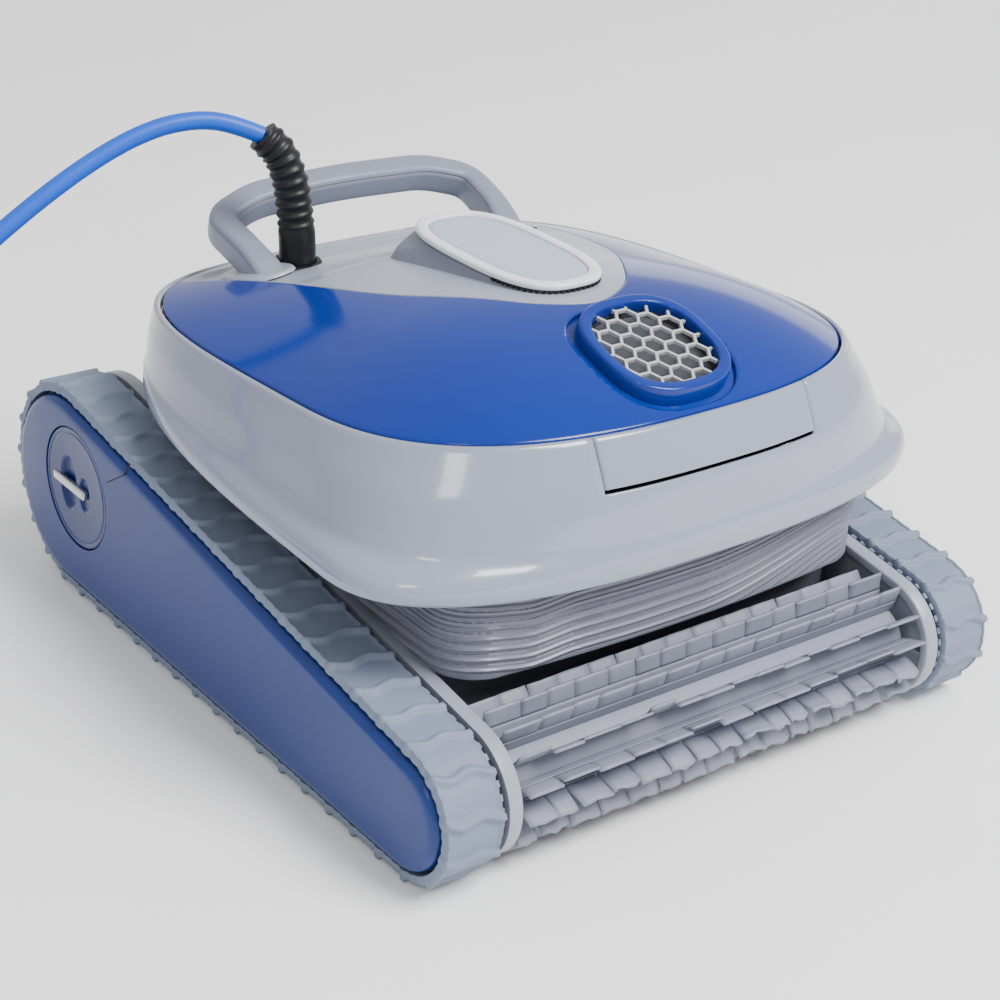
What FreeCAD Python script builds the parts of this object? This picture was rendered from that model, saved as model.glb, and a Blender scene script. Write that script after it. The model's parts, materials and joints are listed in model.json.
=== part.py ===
import FreeCAD, Part
import math
import os

from FreeCAD import Placement, Rotation, Vector

# Tracked pool cleaner. Front is -Y, +Z is up, the floor is z = 0 and the origin is the centre
# of the footprint. All sizes are in millimetres.

os.makedirs("parts", exist_ok=True)
doc = FreeCAD.newDocument("pool_cleaner")

DIMENSIONS = {
    # tracks
    "rear_axle_y": 169.0, "rear_axle_z": 70.0,
    "front_axle_y": -197.0, "front_axle_z": 42.0,
    "belt_inner_x": 163.0, "belt_width": 37.0,
    "rib_height": 3.0, "rib_length": 6.0, "rib_count": 45, "belt_thick": 4.5,
    "wheel_gap": 0.4, "wheel_inner_x": 166.0, "wheel_width": 25.0, "wheel_rim": 5.0,
    "hub_radius": 15.0, "front_hub_radius": 12.0, "web_thick": 5.0,
    "rear_axle_radius": 8.0, "front_axle_radius": 6.0, "running_gap": 0.06,
    "bush_wall": 4.0, "bush_flange": 2.0,
    # side frames, guides and covers
    "frame_inner_x": 150.0, "frame_depth": 9.0, "frame_recess": 5.0, "frame_rim": 6.0,
    "frame_setback": 4.0,
    "guide_rear_y": 60.0, "guide_rear_z": 61.0, "guide_rear_radius": 40.0,
    "guide_front_y": -132.0, "guide_front_z": 47.0, "guide_front_radius": 26.0,
    "guide_wall": 5.0, "guide_rib_pitch": 39.0,
    "cover_inner_x": 193.0, "cover_outer_x": 203.0, "cover_skin": 3.0, "cover_gap": 2.0,
    "cover_round": 5.0,
    "lock_y": 151.0, "lock_z": 79.0, "lock_radius": 38.8, "lock_gap": 0.5,
    "lock_flange_radius": 42.0, "lock_flange": 2.4, "lock_face": 3.2,
    "lock_bowl_y": 158.0, "lock_bowl_z": 76.5, "lock_bowl_radius": 115.0, "lock_bowl_depth": 2.2,
    "bar_length": 42.0, "bar_width": 7.0, "bar_thick": 2.6,
    # hull
    "hull_wide": 300.0, "hull_front_y": -181.0, "hull_rear_y": 200.0, "hull_top_z": 142.0,
    "hull_bottom_z": 20.0, "bay_rear_y": -150.0, "bay_top_z": 87.0, "hull_wall": 4.0,
    "hull_front_round": 28.0, "hull_rear_round": 28.0, "hull_bow": 6.0,
    "hull_rim_z": 114.0, "hull_rim_round": 90.0,
    "hatch_wide": 200.0, "hatch_long": 200.0, "hatch_gap": 0.4,
    "slot_wide": 120.0, "slot_long": 16.0, "slot_y": 45.0,
    "plate_thick": 3.0, "plate_window_wide": 250.0, "plate_window_rear_y": 132.0,
    # upper shell and top
    "shell_wall": 3.0, "rim_wide": 4.5,
    "seam_half": 171.2, "seam_mid_y": -51.0, "seam_front": 129.0, "seam_rear": 234.0,
    "seam_front_power": 2.61, "seam_rear_power": 3.9, "seam_z": 204.3, "seam_slope": -0.06,
    "skirt_half": 202.0, "skirt_mid_y": -117.0, "skirt_front": 87.2, "skirt_rear": 320.0,
    "skirt_front_power": 2.6, "skirt_rear_power": 3.1, "skirt_z": 147.5, "skirt_slope": 0.03,
    "dome_rise": 36.0, "dome_rise_slope": -0.07, "dome_power": 2.5,
    "flap_half": 75.5, "flap_drop": 31.0, "flap_side_gap": 0.8, "flap_lower_gap": 2.4,
    "flap_pin_y": -174.0, "flap_pin_z": 209.0, "flap_pin_radius": 1.5, "flap_top_gap": 2.6,
    # cap on the deck
    "cap_half": 34.8, "cap_long": 67.0, "cap_mid_y": -3.5, "cap_top_z": 251.0, "cap_power": 2.9,
    "cap_thick": 4.0, "cap_ring_wide": 7.0, "pedestal_spread": 26.0, "pedestal_drop": 40.0,
    # outlet
    "outlet_half": 33.2, "outlet_long": 31.5, "outlet_y": -138.0, "outlet_z": 240.0,
    "outlet_slope": 0.328, "outlet_power": 2.64, "collar_wall": 6.0, "collar_deep": 24.0,
    "hex_pitch": 12.5, "hex_wall": 1.6, "grille_thick": 2.0, "grille_drop": 3.0,
    "duct_y": -130.0, "duct_radius": 35.5, "duct_wall": 2.5, "duct_foot_z": 146.0, "duct_top_z": 201.0,
    "pump_radius": 24.0, "pump_foot_z": 98.0, "pump_top_z": 168.0,
    "impeller_radius": 31.0, "impeller_z": 172.0, "impeller_high": 18.0, "impeller_hub": 9.0,
    "pump_shaft_radius": 3.0,
    # handle
    "handle_wide": 18.0, "handle_tall": 21.0, "handle_chamfer": 4.0,
    # drive
    "motor_box_wide": 240.0, "motor_box_y": 139.0, "motor_box_long": 57.0,
    "motor_box_z": 38.0, "motor_box_high": 66.0, "motor_box_wall": 3.0, "motor_lid_thick": 4.0,
    "drive_motor_radius": 23.0, "drive_motor_inner_x": 30.0, "drive_motor_outer_x": 114.0,
    "axle_outer_x": 189.0,
    # filter and inlet
    "tray_wide": 216.0, "tray_front_y": -88.0, "tray_rear_y": 130.0, "tray_floor_z": 37.0,
    "tray_top_z": 136.0, "tray_wall": 3.0,
    "inlet_flap_long": 22.0, "inlet_flap_thick": 1.6, "inlet_pin_radius": 2.0,
    "latch_length": 34.0, "latch_wide": 16.0, "latch_thick": 3.0, "latch_y": 112.0, "latch_pin_radius": 4.0,
    # brush
    "brush_core_radius": 20.0, "brush_tube_wall": 4.0, "brush_half": 147.0,
    "fin_tip_radius": 40.3, "fin_thick": 1.6, "fin_count": 14,
    # cable
    "cable_diameter": 11.0, "relief_radius": 11.8, "gland_radius": 15.8, "gland_high": 6.0,
    "coil_mid_x": -470.0, "coil_mid_y": 108.0, "coil_radius": 93.0,
    "coil_columns": 5, "coil_layers": 4,
    "plug_length": 62.0, "plug_radius": 11.0,
    "screw_radius": 3.5, "screw_high": 2.5,
}

sheet = doc.addObject("Spreadsheet::Sheet", "dims")
for row, (alias, value) in enumerate(DIMENSIONS.items(), start=1):
    sheet.set("A%d" % row, alias)
    sheet.set("B%d" % row, str(value))
    sheet.setAlias("B%d" % row, alias)
doc.recompute()

SUBPARTS = []


def size(alias):
    return float(sheet.get(alias))


def keep(piece, label):
    """Names a finished piece and lists it for export."""
    piece.Label = label
    SUBPARTS.append(piece)
    return piece


def bind(piece, **expressions):
    for name, expression in expressions.items():
        piece.setExpression(name.replace("__", "."), expression)
    return piece


def place(piece, x="0", y="0", z="0"):
    for axis, expression in zip("xyz", (x, y, z)):
        piece.setExpression("Placement.Base." + axis, expression)
    return piece


def box(name, wide, long, high, x, y, z):
    """A block from its lowest corner. Every argument is an expression on the sheet."""
    piece = doc.addObject("Part::Box", name)
    bind(piece, Length=wide, Width=long, Height=high)
    return place(piece, x, y, z)


def post(name, radius, high, x, y, z):
    piece = doc.addObject("Part::Cylinder", name)
    bind(piece, Radius=radius, Height=high)
    return place(piece, x, y, z)


def axle(name, radius, near_x, wide, y, z, side=1):
    """A cylinder along X. For side -1 it is the mirror image in the plane x = 0."""
    piece = doc.addObject("Part::Cylinder", name)
    bind(piece, Radius=radius, Height=wide)
    piece.Placement = Placement(Vector(), Rotation(Vector(0, 1, 0), 90))
    start = near_x if side > 0 else "-(%s)-(%s)" % (near_x, wide)
    return place(piece, start, y, z)


def cut(name, base, tool):
    piece = doc.addObject("Part::Cut", name)
    piece.Base = base
    piece.Tool = tool
    return piece


def fuse(name, pieces):
    piece = doc.addObject("Part::MultiFuse", name)
    piece.Shapes = pieces
    return piece


def common(name, pieces):
    piece = doc.addObject("Part::MultiCommon", name)
    piece.Shapes = pieces
    return piece


def feature(name, shape):
    """A piece whose shape is worked out from the sheet with Part's own functions."""
    piece = doc.addObject("Part::Feature", name)
    piece.Shape = shape
    piece.Placement = Placement()
    return piece


def side_name(side):
    return "left" if side < 0 else "right"


REAR = ("dims.rear_axle_y", "dims.rear_axle_z")
FRONT = ("dims.front_axle_y", "dims.front_axle_z")


# ---- outlines -------------------------------------------------------------------------------

def capsule_points(rear, rear_radius, front, front_radius):
    """Tangent points of the outline round two circles: top rear, top front, bottom front,
    bottom rear, and the outermost points of the two arcs."""
    dy = front[0] - rear[0]
    dz = front[1] - rear[1]
    length = math.hypot(dy, dz)
    heading = math.atan2(dz, dy)
    lean = math.acos((rear_radius - front_radius) / length)
    points = {}
    for key, sign in (("top", -1), ("bottom", 1)):
        angle = heading + sign * lean
        reach = (math.cos(angle), math.sin(angle))
        points[key + "_rear"] = (rear[0] + rear_radius * reach[0], rear[1] + rear_radius * reach[1])
        points[key + "_front"] = (front[0] + front_radius * reach[0], front[1] + front_radius * reach[1])
        points[key + "_angle"] = angle
    ahead = (math.cos(heading), math.sin(heading))
    points["nose"] = (front[0] + front_radius * ahead[0], front[1] + front_radius * ahead[1])
    points["tail"] = (rear[0] - rear_radius * ahead[0], rear[1] - rear_radius * ahead[1])
    return points


def at_x(x, point):
    return Vector(x, point[0], point[1])


def capsule_prism(near_x, wide, rear, rear_radius, front, front_radius):
    """A prism along +X with the outline of a belt round two wheels."""
    ends = capsule_points(rear, rear_radius, front, front_radius)
    edges = [
        Part.makeLine(at_x(near_x, ends["top_rear"]), at_x(near_x, ends["top_front"])),
        Part.Arc(*[at_x(near_x, ends[key]) for key in ("top_front", "nose", "bottom_front")]).toShape(),
        Part.makeLine(at_x(near_x, ends["bottom_front"]), at_x(near_x, ends["bottom_rear"])),
        Part.Arc(*[at_x(near_x, ends[key]) for key in ("bottom_rear", "tail", "top_rear")]).toShape(),
    ]
    return Part.Face(Part.Wire(edges)).extrude(Vector(wide, 0, 0))


def egg_ring(half, mid_y, front, rear, front_power, rear_power, level, slope, count=28, grow=0.0):
    """A closed smooth curve in a plane that slopes along Y: two half superellipses that share
    their widest line, set out by formula."""
    points = []
    for step in range(count):
        turn = 2 * math.pi * step / count
        across = math.cos(turn)
        along = math.sin(turn)
        power = rear_power if along > 0 else front_power
        reach = (rear if along > 0 else front) + grow
        x = (half + grow) * math.copysign(abs(across) ** (2 / power), across)
        y = mid_y + reach * math.copysign(abs(along) ** (2 / power), along)
        points.append(Vector(x, y, level + slope * y))
    curve = Part.BSplineCurve()
    curve.interpolate(points, PeriodicFlag=True)
    return Part.Wire(curve.toShape())


def oval_ring(half, long, mid_y, power, level, slope=0.0, count=24):
    """A superellipse round the plane x = 0."""
    points = []
    for step in range(count):
        turn = 2 * math.pi * step / count
        across = math.cos(turn)
        along = math.sin(turn)
        x = half * math.copysign(abs(across) ** (2 / power), across)
        y = mid_y + long * math.copysign(abs(along) ** (2 / power), along)
        points.append(Vector(x, y, level + slope * (y - mid_y)))
    curve = Part.BSplineCurve()
    curve.interpolate(points, PeriodicFlag=True)
    return Part.Wire(curve.toShape())


def rear_centre():
    return (size("rear_axle_y"), size("rear_axle_z"))


def front_centre():
    return (size("front_axle_y"), size("front_axle_z"))


# ---- tracks ---------------------------------------------------------------------------------

def belt_shape(near_x):
    """A ribbed belt round both wheels: a smooth band and evenly spaced cross ribs."""
    rib = size("rib_height")
    rear_radius = size("rear_axle_z") - rib
    front_radius = size("front_axle_z") - rib
    wide = size("belt_width")
    outside = capsule_prism(near_x, wide, rear_centre(), rear_radius, front_centre(), front_radius)
    inner_rear = rear_radius - size("belt_thick")
    inner_front = front_radius - size("belt_thick")
    inside = capsule_prism(near_x - 1, wide + 2, rear_centre(), inner_rear, front_centre(), inner_front)
    band = outside.cut(inside)
    ribs = []
    for point, angle in belt_stations(rear_radius, front_radius):
        rib_block = Part.makeBox(wide, size("rib_length"), rib + 0.5)
        rib_block.translate(Vector(0, -size("rib_length") / 2, -0.5))
        rib_block.rotate(Vector(0, 0, 0), Vector(1, 0, 0), math.degrees(angle) - 90)
        rib_block.translate(Vector(near_x, point[0], point[1]))
        ribs.append(rib_block)
    belt = band.fuse(ribs).removeSplitter()
    floor_cut = Part.makeBox(wide + 2, 600, 10, Vector(near_x - 1, -300, -10))
    return belt.cut(floor_cut)


def belt_stations(rear_radius, front_radius):
    """Evenly spaced places round the belt with the outward angle at each."""
    ends = capsule_points(rear_centre(), rear_radius, front_centre(), front_radius)
    top = ends["top_angle"] % (2 * math.pi)
    bottom = ends["bottom_angle"] % (2 * math.pi)
    straight = math.dist(ends["top_rear"], ends["top_front"])
    front_arc = front_radius * (bottom - top)
    rear_arc = rear_radius * (2 * math.pi - (bottom - top))
    whole = 2 * straight + front_arc + rear_arc
    count = int(size("rib_count"))
    stations = []
    for index in range(count):
        run = (index + 0.3) * whole / count
        if run < straight:
            share = run / straight
            point = [a + (b - a) * share for a, b in zip(ends["top_rear"], ends["top_front"])]
            angle = top
        elif run < straight + front_arc:
            angle = top + (run - straight) / front_radius
            point = [front_centre()[0] + front_radius * math.cos(angle),
                     front_centre()[1] + front_radius * math.sin(angle)]
        elif run < 2 * straight + front_arc:
            share = (run - straight - front_arc) / straight
            point = [a + (b - a) * share for a, b in zip(ends["bottom_front"], ends["bottom_rear"])]
            angle = bottom
        else:
            angle = bottom + (run - 2 * straight - front_arc) / rear_radius
            point = [rear_centre()[0] + rear_radius * math.cos(angle),
                     rear_centre()[1] + rear_radius * math.sin(angle)]
        stations.append((point, angle))
    return stations


def make_belt(side):
    near_x = size("belt_inner_x")
    if side < 0:
        near_x = -near_x - size("belt_width")
    keep(feature("belt_" + side_name(side), belt_shape(near_x)), "track_belt_" + side_name(side))


def circle_sketch(body, name, x, circles):
    """A sketch across X with circles given as (y, z, radius) expressions on the sheet."""
    import Sketcher
    plane = [f for f in body.Origin.OriginFeatures if f.Role == "YZ_Plane"][0]
    sketch = body.newObject("Sketcher::SketchObject", name)
    sketch.AttachmentSupport = [(plane, "")]
    sketch.MapMode = "FlatFace"
    sketch.AttachmentOffset = Placement(Vector(0, 0, 0), Rotation())
    sketch.setExpression("AttachmentOffset.Base.z", x)
    for index, (y, z, radius) in enumerate(circles):
        sketch.addGeometry(Part.Circle(Vector(1, 1, 0), Vector(0, 0, 1), 1), False)
        limits = (("DistanceX", y), ("DistanceY", z))
        for kind, expression in limits:
            number = sketch.addConstraint(Sketcher.Constraint(kind, -1, 1, index, 3, 1.0))
            sketch.setExpression("Constraints[%d]" % number, expression)
        number = sketch.addConstraint(Sketcher.Constraint("Radius", index, 1.0))
        sketch.setExpression("Constraints[%d]" % number, radius)
    return sketch


def pad(body, name, sketch, length):
    piece = body.newObject("PartDesign::Pad", name)
    piece.Profile = sketch
    piece.setExpression("Length", length)
    body.Tip = piece
    return piece


def pocket(body, name, sketch, length, towards_plus_x):
    piece = body.newObject("PartDesign::Pocket", name)
    piece.Profile = sketch
    piece.setExpression("Length", length)
    piece.Reversed = towards_plus_x
    body.Tip = piece
    return piece


def make_wheel(label, side, centre, radius, hub, bore, holes):
    """A drum wheel whose web openings are set out one by one round the axle."""
    y, z = centre
    body = doc.addObject("PartDesign::Body", label + "_body")
    near = "dims.wheel_inner_x" if side > 0 else "-dims.wheel_inner_x-dims.wheel_width"
    far = "%s+dims.wheel_width" % near
    disc = circle_sketch(body, label + "_disc", near, [(y, z, radius)])
    pad(body, label + "_drum", disc, "dims.wheel_width")
    recess = "(dims.wheel_width-dims.web_thick)/2"
    rings = [(y, z, radius + "-dims.wheel_rim"), (y, z, hub)]
    outer = circle_sketch(body, label + "_far_ring", far, rings)
    pocket(body, label + "_far_recess", outer, recess, False)
    inner = circle_sketch(body, label + "_near_ring", near, rings)
    pocket(body, label + "_near_recess", inner, recess, True)
    middle = "((%s+%s-dims.wheel_rim)/2)" % (hub, radius)
    eyes = [(y, z, bore)]
    for index in range(holes):
        turn = 360.0 * index / holes
        eyes.append(("%s+%s*cos(%f deg)" % (y, middle, turn), "%s+%s*sin(%f deg)" % (z, middle, turn),
                     "(%s-dims.wheel_rim-%s)/2-6" % (radius, hub)))
    through = circle_sketch(body, label + "_eye_rings", near, eyes)
    pocket(body, label + "_eyes", through, "dims.wheel_width", True)
    return keep(body, label)


def make_tracks(side):
    name = side_name(side)
    make_belt(side)
    belt_inside = "dims.rib_height-dims.belt_thick-dims.wheel_gap"
    make_wheel("rear_wheel_" + name, side, REAR, "dims.rear_axle_z-" + belt_inside,
                          "dims.hub_radius", "dims.rear_axle_radius", 6)
    front_bore = "dims.front_axle_radius" if side < 0 else "dims.front_axle_radius+dims.running_gap"
    make_wheel("front_wheel_" + name, side, FRONT, "dims.front_axle_z-" + belt_inside,
                          "dims.front_hub_radius", front_bore, 0)
    shaft = axle("rear_axle_%s_shaft" % name, "dims.rear_axle_radius", "dims.drive_motor_outer_x",
                 "dims.axle_outer_x-dims.drive_motor_outer_x", *REAR, side)
    collar = axle("rear_axle_%s_collar" % name, "dims.rear_axle_radius+2.5", "dims.frame_inner_x-10",
                  "4", *REAR, side)
    keep(fuse("rear_axle_%s_fuse" % name, [shaft, collar]), "rear_axle_" + name)
    for end, centre, radius in (("rear", REAR, "dims.rear_axle_radius"), ("front", FRONT, "dims.front_axle_radius")):
        sleeve = axle("%s_bush_%s_sleeve" % (end, name), radius + "+dims.bush_wall",
                      "dims.frame_inner_x+dims.frame_recess", "dims.frame_depth-dims.frame_recess", *centre, side)
        flange = axle("%s_bush_%s_flange" % (end, name), radius + "+dims.bush_wall+3",
                      "dims.frame_inner_x+dims.frame_depth", "dims.bush_flange", *centre, side)
        hole = axle("%s_bush_%s_hole" % (end, name), radius + "+dims.running_gap",
                    "dims.frame_inner_x", "20", *centre, side)
        whole = fuse("%s_bush_%s_fuse" % (end, name), [sleeve, flange])
        keep(cut("%s_bush_%s_cut" % (end, name), whole, hole), "%s_bush_%s" % (end, name))


# ---- side frames, guides and covers -----------------------------------------------------------

def make_side_frame(side):
    """A plate inside the belt with a raised rim, open towards the hull."""
    name = side_name(side)
    near_x = size("frame_inner_x")
    depth = size("frame_depth")
    recess = size("frame_recess")
    rear_radius = size("rear_axle_z") - size("frame_setback")
    front_radius = size("front_axle_z") - size("frame_setback")
    rim = size("frame_rim")
    start = near_x if side > 0 else -near_x - depth
    plate = capsule_prism(start, depth, rear_centre(), rear_radius, front_centre(), front_radius)
    hollow_start = near_x - 1 if side > 0 else -near_x - recess
    hollow = capsule_prism(hollow_start, recess + 1, rear_centre(), rear_radius - rim,
                           front_centre(), front_radius - rim)
    base = feature("side_frame_%s_tray" % name, plate.cut(hollow))
    wall = "dims.bush_wall+0.05"
    rear_hole = axle("side_frame_%s_rear_hole" % name, "dims.rear_axle_radius+" + wall,
                     "dims.frame_inner_x-2", "20", *REAR, side)
    front_hole = axle("side_frame_%s_front_hole" % name, "dims.front_axle_radius+" + wall,
                      "dims.frame_inner_x-2", "20", *FRONT, side)
    holes = fuse("side_frame_%s_holes" % name, [rear_hole, front_hole])
    keep(cut("side_frame_%s_cut" % name, base, holes), "side_frame_" + name)


def make_track_guide(side):
    """The hollow beam between the wheels that carries the side cover."""
    name = side_name(side)
    near_x = size("frame_inner_x") + size("frame_depth")
    wide = size("cover_outer_x") - size("cover_skin") - near_x
    start = near_x if side > 0 else -near_x - wide
    rear = (size("guide_rear_y"), size("guide_rear_z"))
    front = (size("guide_front_y"), size("guide_front_z"))
    wall = size("guide_wall")
    outside = capsule_prism(start, wide, rear, size("guide_rear_radius"), front, size("guide_front_radius"))
    inside = capsule_prism(start - 1, wide + 2, rear, size("guide_rear_radius") - wall,
                           front, size("guide_front_radius") - wall)
    ribs = []
    step = size("guide_rib_pitch")
    count = int((rear[0] - front[0]) / step) + 1
    for index in range(count):
        y = front[0] + (rear[0] - front[0]) * index / (count - 1)
        ribs.append(Part.makeBox(wide, wall * 0.6, 200, Vector(start, y - wall * 0.3, 0)).common(inside))
    beam = outside.cut(inside).fuse(ribs)
    keep(feature("track_guide_%s_beam" % name, beam), "track_guide_" + name)


def make_side_cover(side):
    """The rounded plate that closes the belt loop, with a round opening for the lock."""
    name = side_name(side)
    inner = size("cover_inner_x")
    outer = size("cover_outer_x")
    skin = size("cover_skin")
    loop = size("rib_height") + size("belt_thick") + size("cover_gap")
    rear_radius = size("rear_axle_z") - loop
    front_radius = size("front_axle_z") - loop
    start = inner if side > 0 else -outer
    body = capsule_prism(start, outer - inner, rear_centre(), rear_radius, front_centre(), front_radius)
    face_x = side * outer
    rounded = [edge for edge in body.Edges if abs(edge.BoundBox.XMin - face_x) < 0.01
               and abs(edge.BoundBox.XMax - face_x) < 0.01]
    body = body.makeFillet(size("cover_round"), rounded)
    hollow_start = inner - 1 if side > 0 else -outer + skin
    hollow = capsule_prism(hollow_start, outer - inner - skin + 1, rear_centre(), rear_radius - skin,
                           front_centre(), front_radius - skin)
    shell = feature("side_cover_%s_shell" % name, body.cut(hollow))
    eye = axle("side_cover_%s_eye" % name, "dims.lock_radius+dims.lock_gap", "dims.cover_inner_x-5", "20",
               "dims.lock_y", "dims.lock_z", side)
    keep(cut("side_cover_%s_cut" % name, shell, eye), "side_cover_" + name)


def make_side_lock(side):
    """A quarter-turn lock in the cover: a dished disc held by a flange, with a grip bar."""
    name = side_name(side)
    outer = "dims.cover_outer_x-0.4"
    face = axle("side_lock_%s_face" % name, "dims.lock_radius", outer + "-dims.lock_face-0.4",
                "dims.lock_face+0.4", "dims.lock_y", "dims.lock_z", side)
    flange = axle("side_lock_%s_flange" % name, "dims.lock_flange_radius",
                  outer + "-dims.lock_face-0.4-dims.lock_flange+0.2", "dims.lock_flange",
                  "dims.lock_y", "dims.lock_z", side)
    disc = fuse("side_lock_%s_disc" % name, [face, flange])
    bowl = doc.addObject("Part::Sphere", "side_lock_%s_bowl" % name)
    bind(bowl, Radius="dims.lock_bowl_radius")
    reach = "%d*(%s+dims.lock_bowl_radius-dims.lock_bowl_depth)" % (side, outer)
    place(bowl, reach, "dims.lock_bowl_y", "dims.lock_bowl_z")
    keep(cut("side_lock_%s_cut" % name, disc, bowl), "side_lock_" + name)
    start = "dims.cover_outer_x-dims.bar_thick" if side > 0 else "-dims.cover_outer_x"
    bar = box("lock_bar_%s_box" % name, "dims.bar_thick", "dims.bar_length", "dims.bar_width",
              start, "dims.lock_bowl_y-dims.bar_length/2", "dims.lock_bowl_z-dims.bar_width/2")
    keep(bar, "lock_bar_" + name)


# ---- hull, plates and base --------------------------------------------------------------------

def rounded_plan(front_y, rear_y, half, front_round, rear_round, bow, low_z, high_z):
    """A prism along +Z whose plan is a rectangle with round corners and a bowed front edge."""
    def spot(x, y):
        return Vector(x, y, low_z)
    slant = math.sqrt(0.5)
    front = front_y + bow
    edges = [
        Part.Arc(spot(-half + front_round, front), spot(0, front_y), spot(half - front_round, front)).toShape(),
        Part.Arc(spot(half - front_round, front),
                 spot(half - front_round * (1 - slant), front + front_round * (1 - slant)),
                 spot(half, front + front_round)).toShape(),
        Part.makeLine(spot(half, front + front_round), spot(half, rear_y - rear_round)),
        Part.Arc(spot(half, rear_y - rear_round),
                 spot(half - rear_round * (1 - slant), rear_y - rear_round * (1 - slant)),
                 spot(half - rear_round, rear_y)).toShape(),
        Part.makeLine(spot(half - rear_round, rear_y), spot(-half + rear_round, rear_y)),
        Part.Arc(spot(-half + rear_round, rear_y),
                 spot(-half + rear_round * (1 - slant), rear_y - rear_round * (1 - slant)),
                 spot(-half, rear_y - rear_round)).toShape(),
        Part.makeLine(spot(-half, rear_y - rear_round), spot(-half, front + front_round)),
        Part.Arc(spot(-half, front + front_round),
                 spot(-half + front_round * (1 - slant), front + front_round * (1 - slant)),
                 spot(-half + front_round, front)).toShape(),
    ]
    return Part.Face(Part.Wire(edges)).extrude(Vector(0, 0, high_z - low_z))


def hull_solid(inset, low_z, top_z):
    """The hull's outer form, or its cavity when inset: a full-width tub above a shorter keel.
    The tub's rear corners draw in near the top, so they stay under the shell."""
    half = size("hull_wide") / 2 - inset
    rear_y = size("hull_rear_y") - inset
    bay_top = size("bay_top_z") + inset
    front_round = size("hull_front_round") - inset
    rear_round = size("hull_rear_round") - inset
    rim_z = size("hull_rim_z") - inset
    upper = rounded_plan(size("hull_front_y") + inset, rear_y, half, front_round, rear_round,
                         size("hull_bow"), bay_top, rim_z)
    rim = rounded_plan(size("hull_front_y") + inset, rear_y, half, front_round,
                       size("hull_rim_round") - inset, size("hull_bow"), rim_z, top_z)
    lower = rounded_plan(size("bay_rear_y") + inset, rear_y, half, 8, rear_round, 0.5, low_z, bay_top)
    return upper.fuse([lower, rim]).removeSplitter()


def make_hull():
    wall = size("hull_wall")
    outer = hull_solid(0, size("hull_bottom_z"), size("hull_top_z"))
    cavity = hull_solid(wall, size("hull_bottom_z") + wall, size("hull_top_z") + 1)
    tub = feature("hull_tub", outer.cut(cavity))
    hatch = box("hull_hatch", "dims.hatch_wide", "dims.hatch_long", "dims.hull_wall+4",
                "-dims.hatch_wide/2", "-dims.hatch_long/2", "dims.hull_bottom_z-2")
    holes = [hatch]
    for side in (-1, 1):
        holes.append(axle("hull_axle_hole_" + side_name(side), "dims.rear_axle_radius+5",
                          "dims.hull_wide/2-dims.hull_wall-2", "dims.hull_wall+4", *REAR, side))
    for index, sign in enumerate((-1, 1)):
        holes.append(post("hull_latch_hole_%d" % index, "dims.latch_pin_radius+dims.running_gap",
                          "dims.hull_wall+4", "0", "%d*dims.latch_y" % sign, "dims.hull_bottom_z-2"))
    openings = fuse("hull_openings", holes)
    keep(cut("hull_cut", tub, openings), "hull")


def make_base_plate():
    plate = box("base_plate_blank", "dims.hatch_wide-2*dims.hatch_gap", "dims.hatch_long-2*dims.hatch_gap",
                "dims.hull_wall", "-dims.hatch_wide/2+dims.hatch_gap", "-dims.hatch_long/2+dims.hatch_gap",
                "dims.hull_bottom_z")
    slots = []
    ears = [plate]
    pins = []
    for name, sign in (("front", -1), ("rear", 1)):
        slots.append(box("inlet_slot_" + name, "dims.slot_wide", "dims.slot_long", "dims.hull_wall+4",
                         "-dims.slot_wide/2", "%d*dims.slot_y-dims.slot_long/2" % sign, "dims.hull_bottom_z-2"))
        pin_y = inlet_pin_y(sign)
        for hand in (-1, 1):
            near = "dims.slot_wide/2+3" if hand > 0 else "-dims.slot_wide/2-8"
            ears.append(box("inlet_ear_%s_%s" % (name, side_name(hand)), "5", "8", "9", near,
                            pin_y + "-4", "dims.hull_bottom_z+dims.hull_wall-0.5"))
        pins.append(axle("inlet_pin_hole_" + name, "dims.inlet_pin_radius+dims.running_gap",
                         "-dims.slot_wide/2-10", "dims.slot_wide+20", pin_y, inlet_pin_z()))
    body = fuse("base_plate_body", ears)
    holes = fuse("base_plate_holes", slots + pins)
    keep(cut("base_plate_cut", body, holes), "base_plate")


def inlet_pin_y(sign):
    return "%d*(dims.slot_y+dims.inlet_flap_long/2+1)" % sign


def inlet_pin_z():
    return "dims.hull_bottom_z+dims.hull_wall+4"


def make_inlet_flap(name, sign):
    """A valve plate that lies on the inlet slot and lifts on a pin along its outer edge."""
    low = "dims.hull_bottom_z+dims.hull_wall+0.3"
    leaf_y = "%d*dims.slot_y-dims.inlet_flap_long/2" % sign
    leaf = box("inlet_flap_%s_leaf" % name, "dims.slot_wide+4", "dims.inlet_flap_long+2", "dims.inlet_flap_thick",
               "-dims.slot_wide/2-2", leaf_y + ("-2" if sign < 0 else ""), low)
    neck_y = inlet_pin_y(sign) + "-1"
    neck = box("inlet_flap_%s_neck" % name, "dims.slot_wide+4", "2", "4", "-dims.slot_wide/2-2", neck_y, low)
    pin = axle("inlet_flap_%s_pin" % name, "dims.inlet_pin_radius", "-dims.slot_wide/2-8", "dims.slot_wide+16",
               inlet_pin_y(sign), inlet_pin_z())
    keep(fuse("inlet_flap_%s_fuse" % name, [leaf, neck, pin]), "inlet_flap_" + name)


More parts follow.
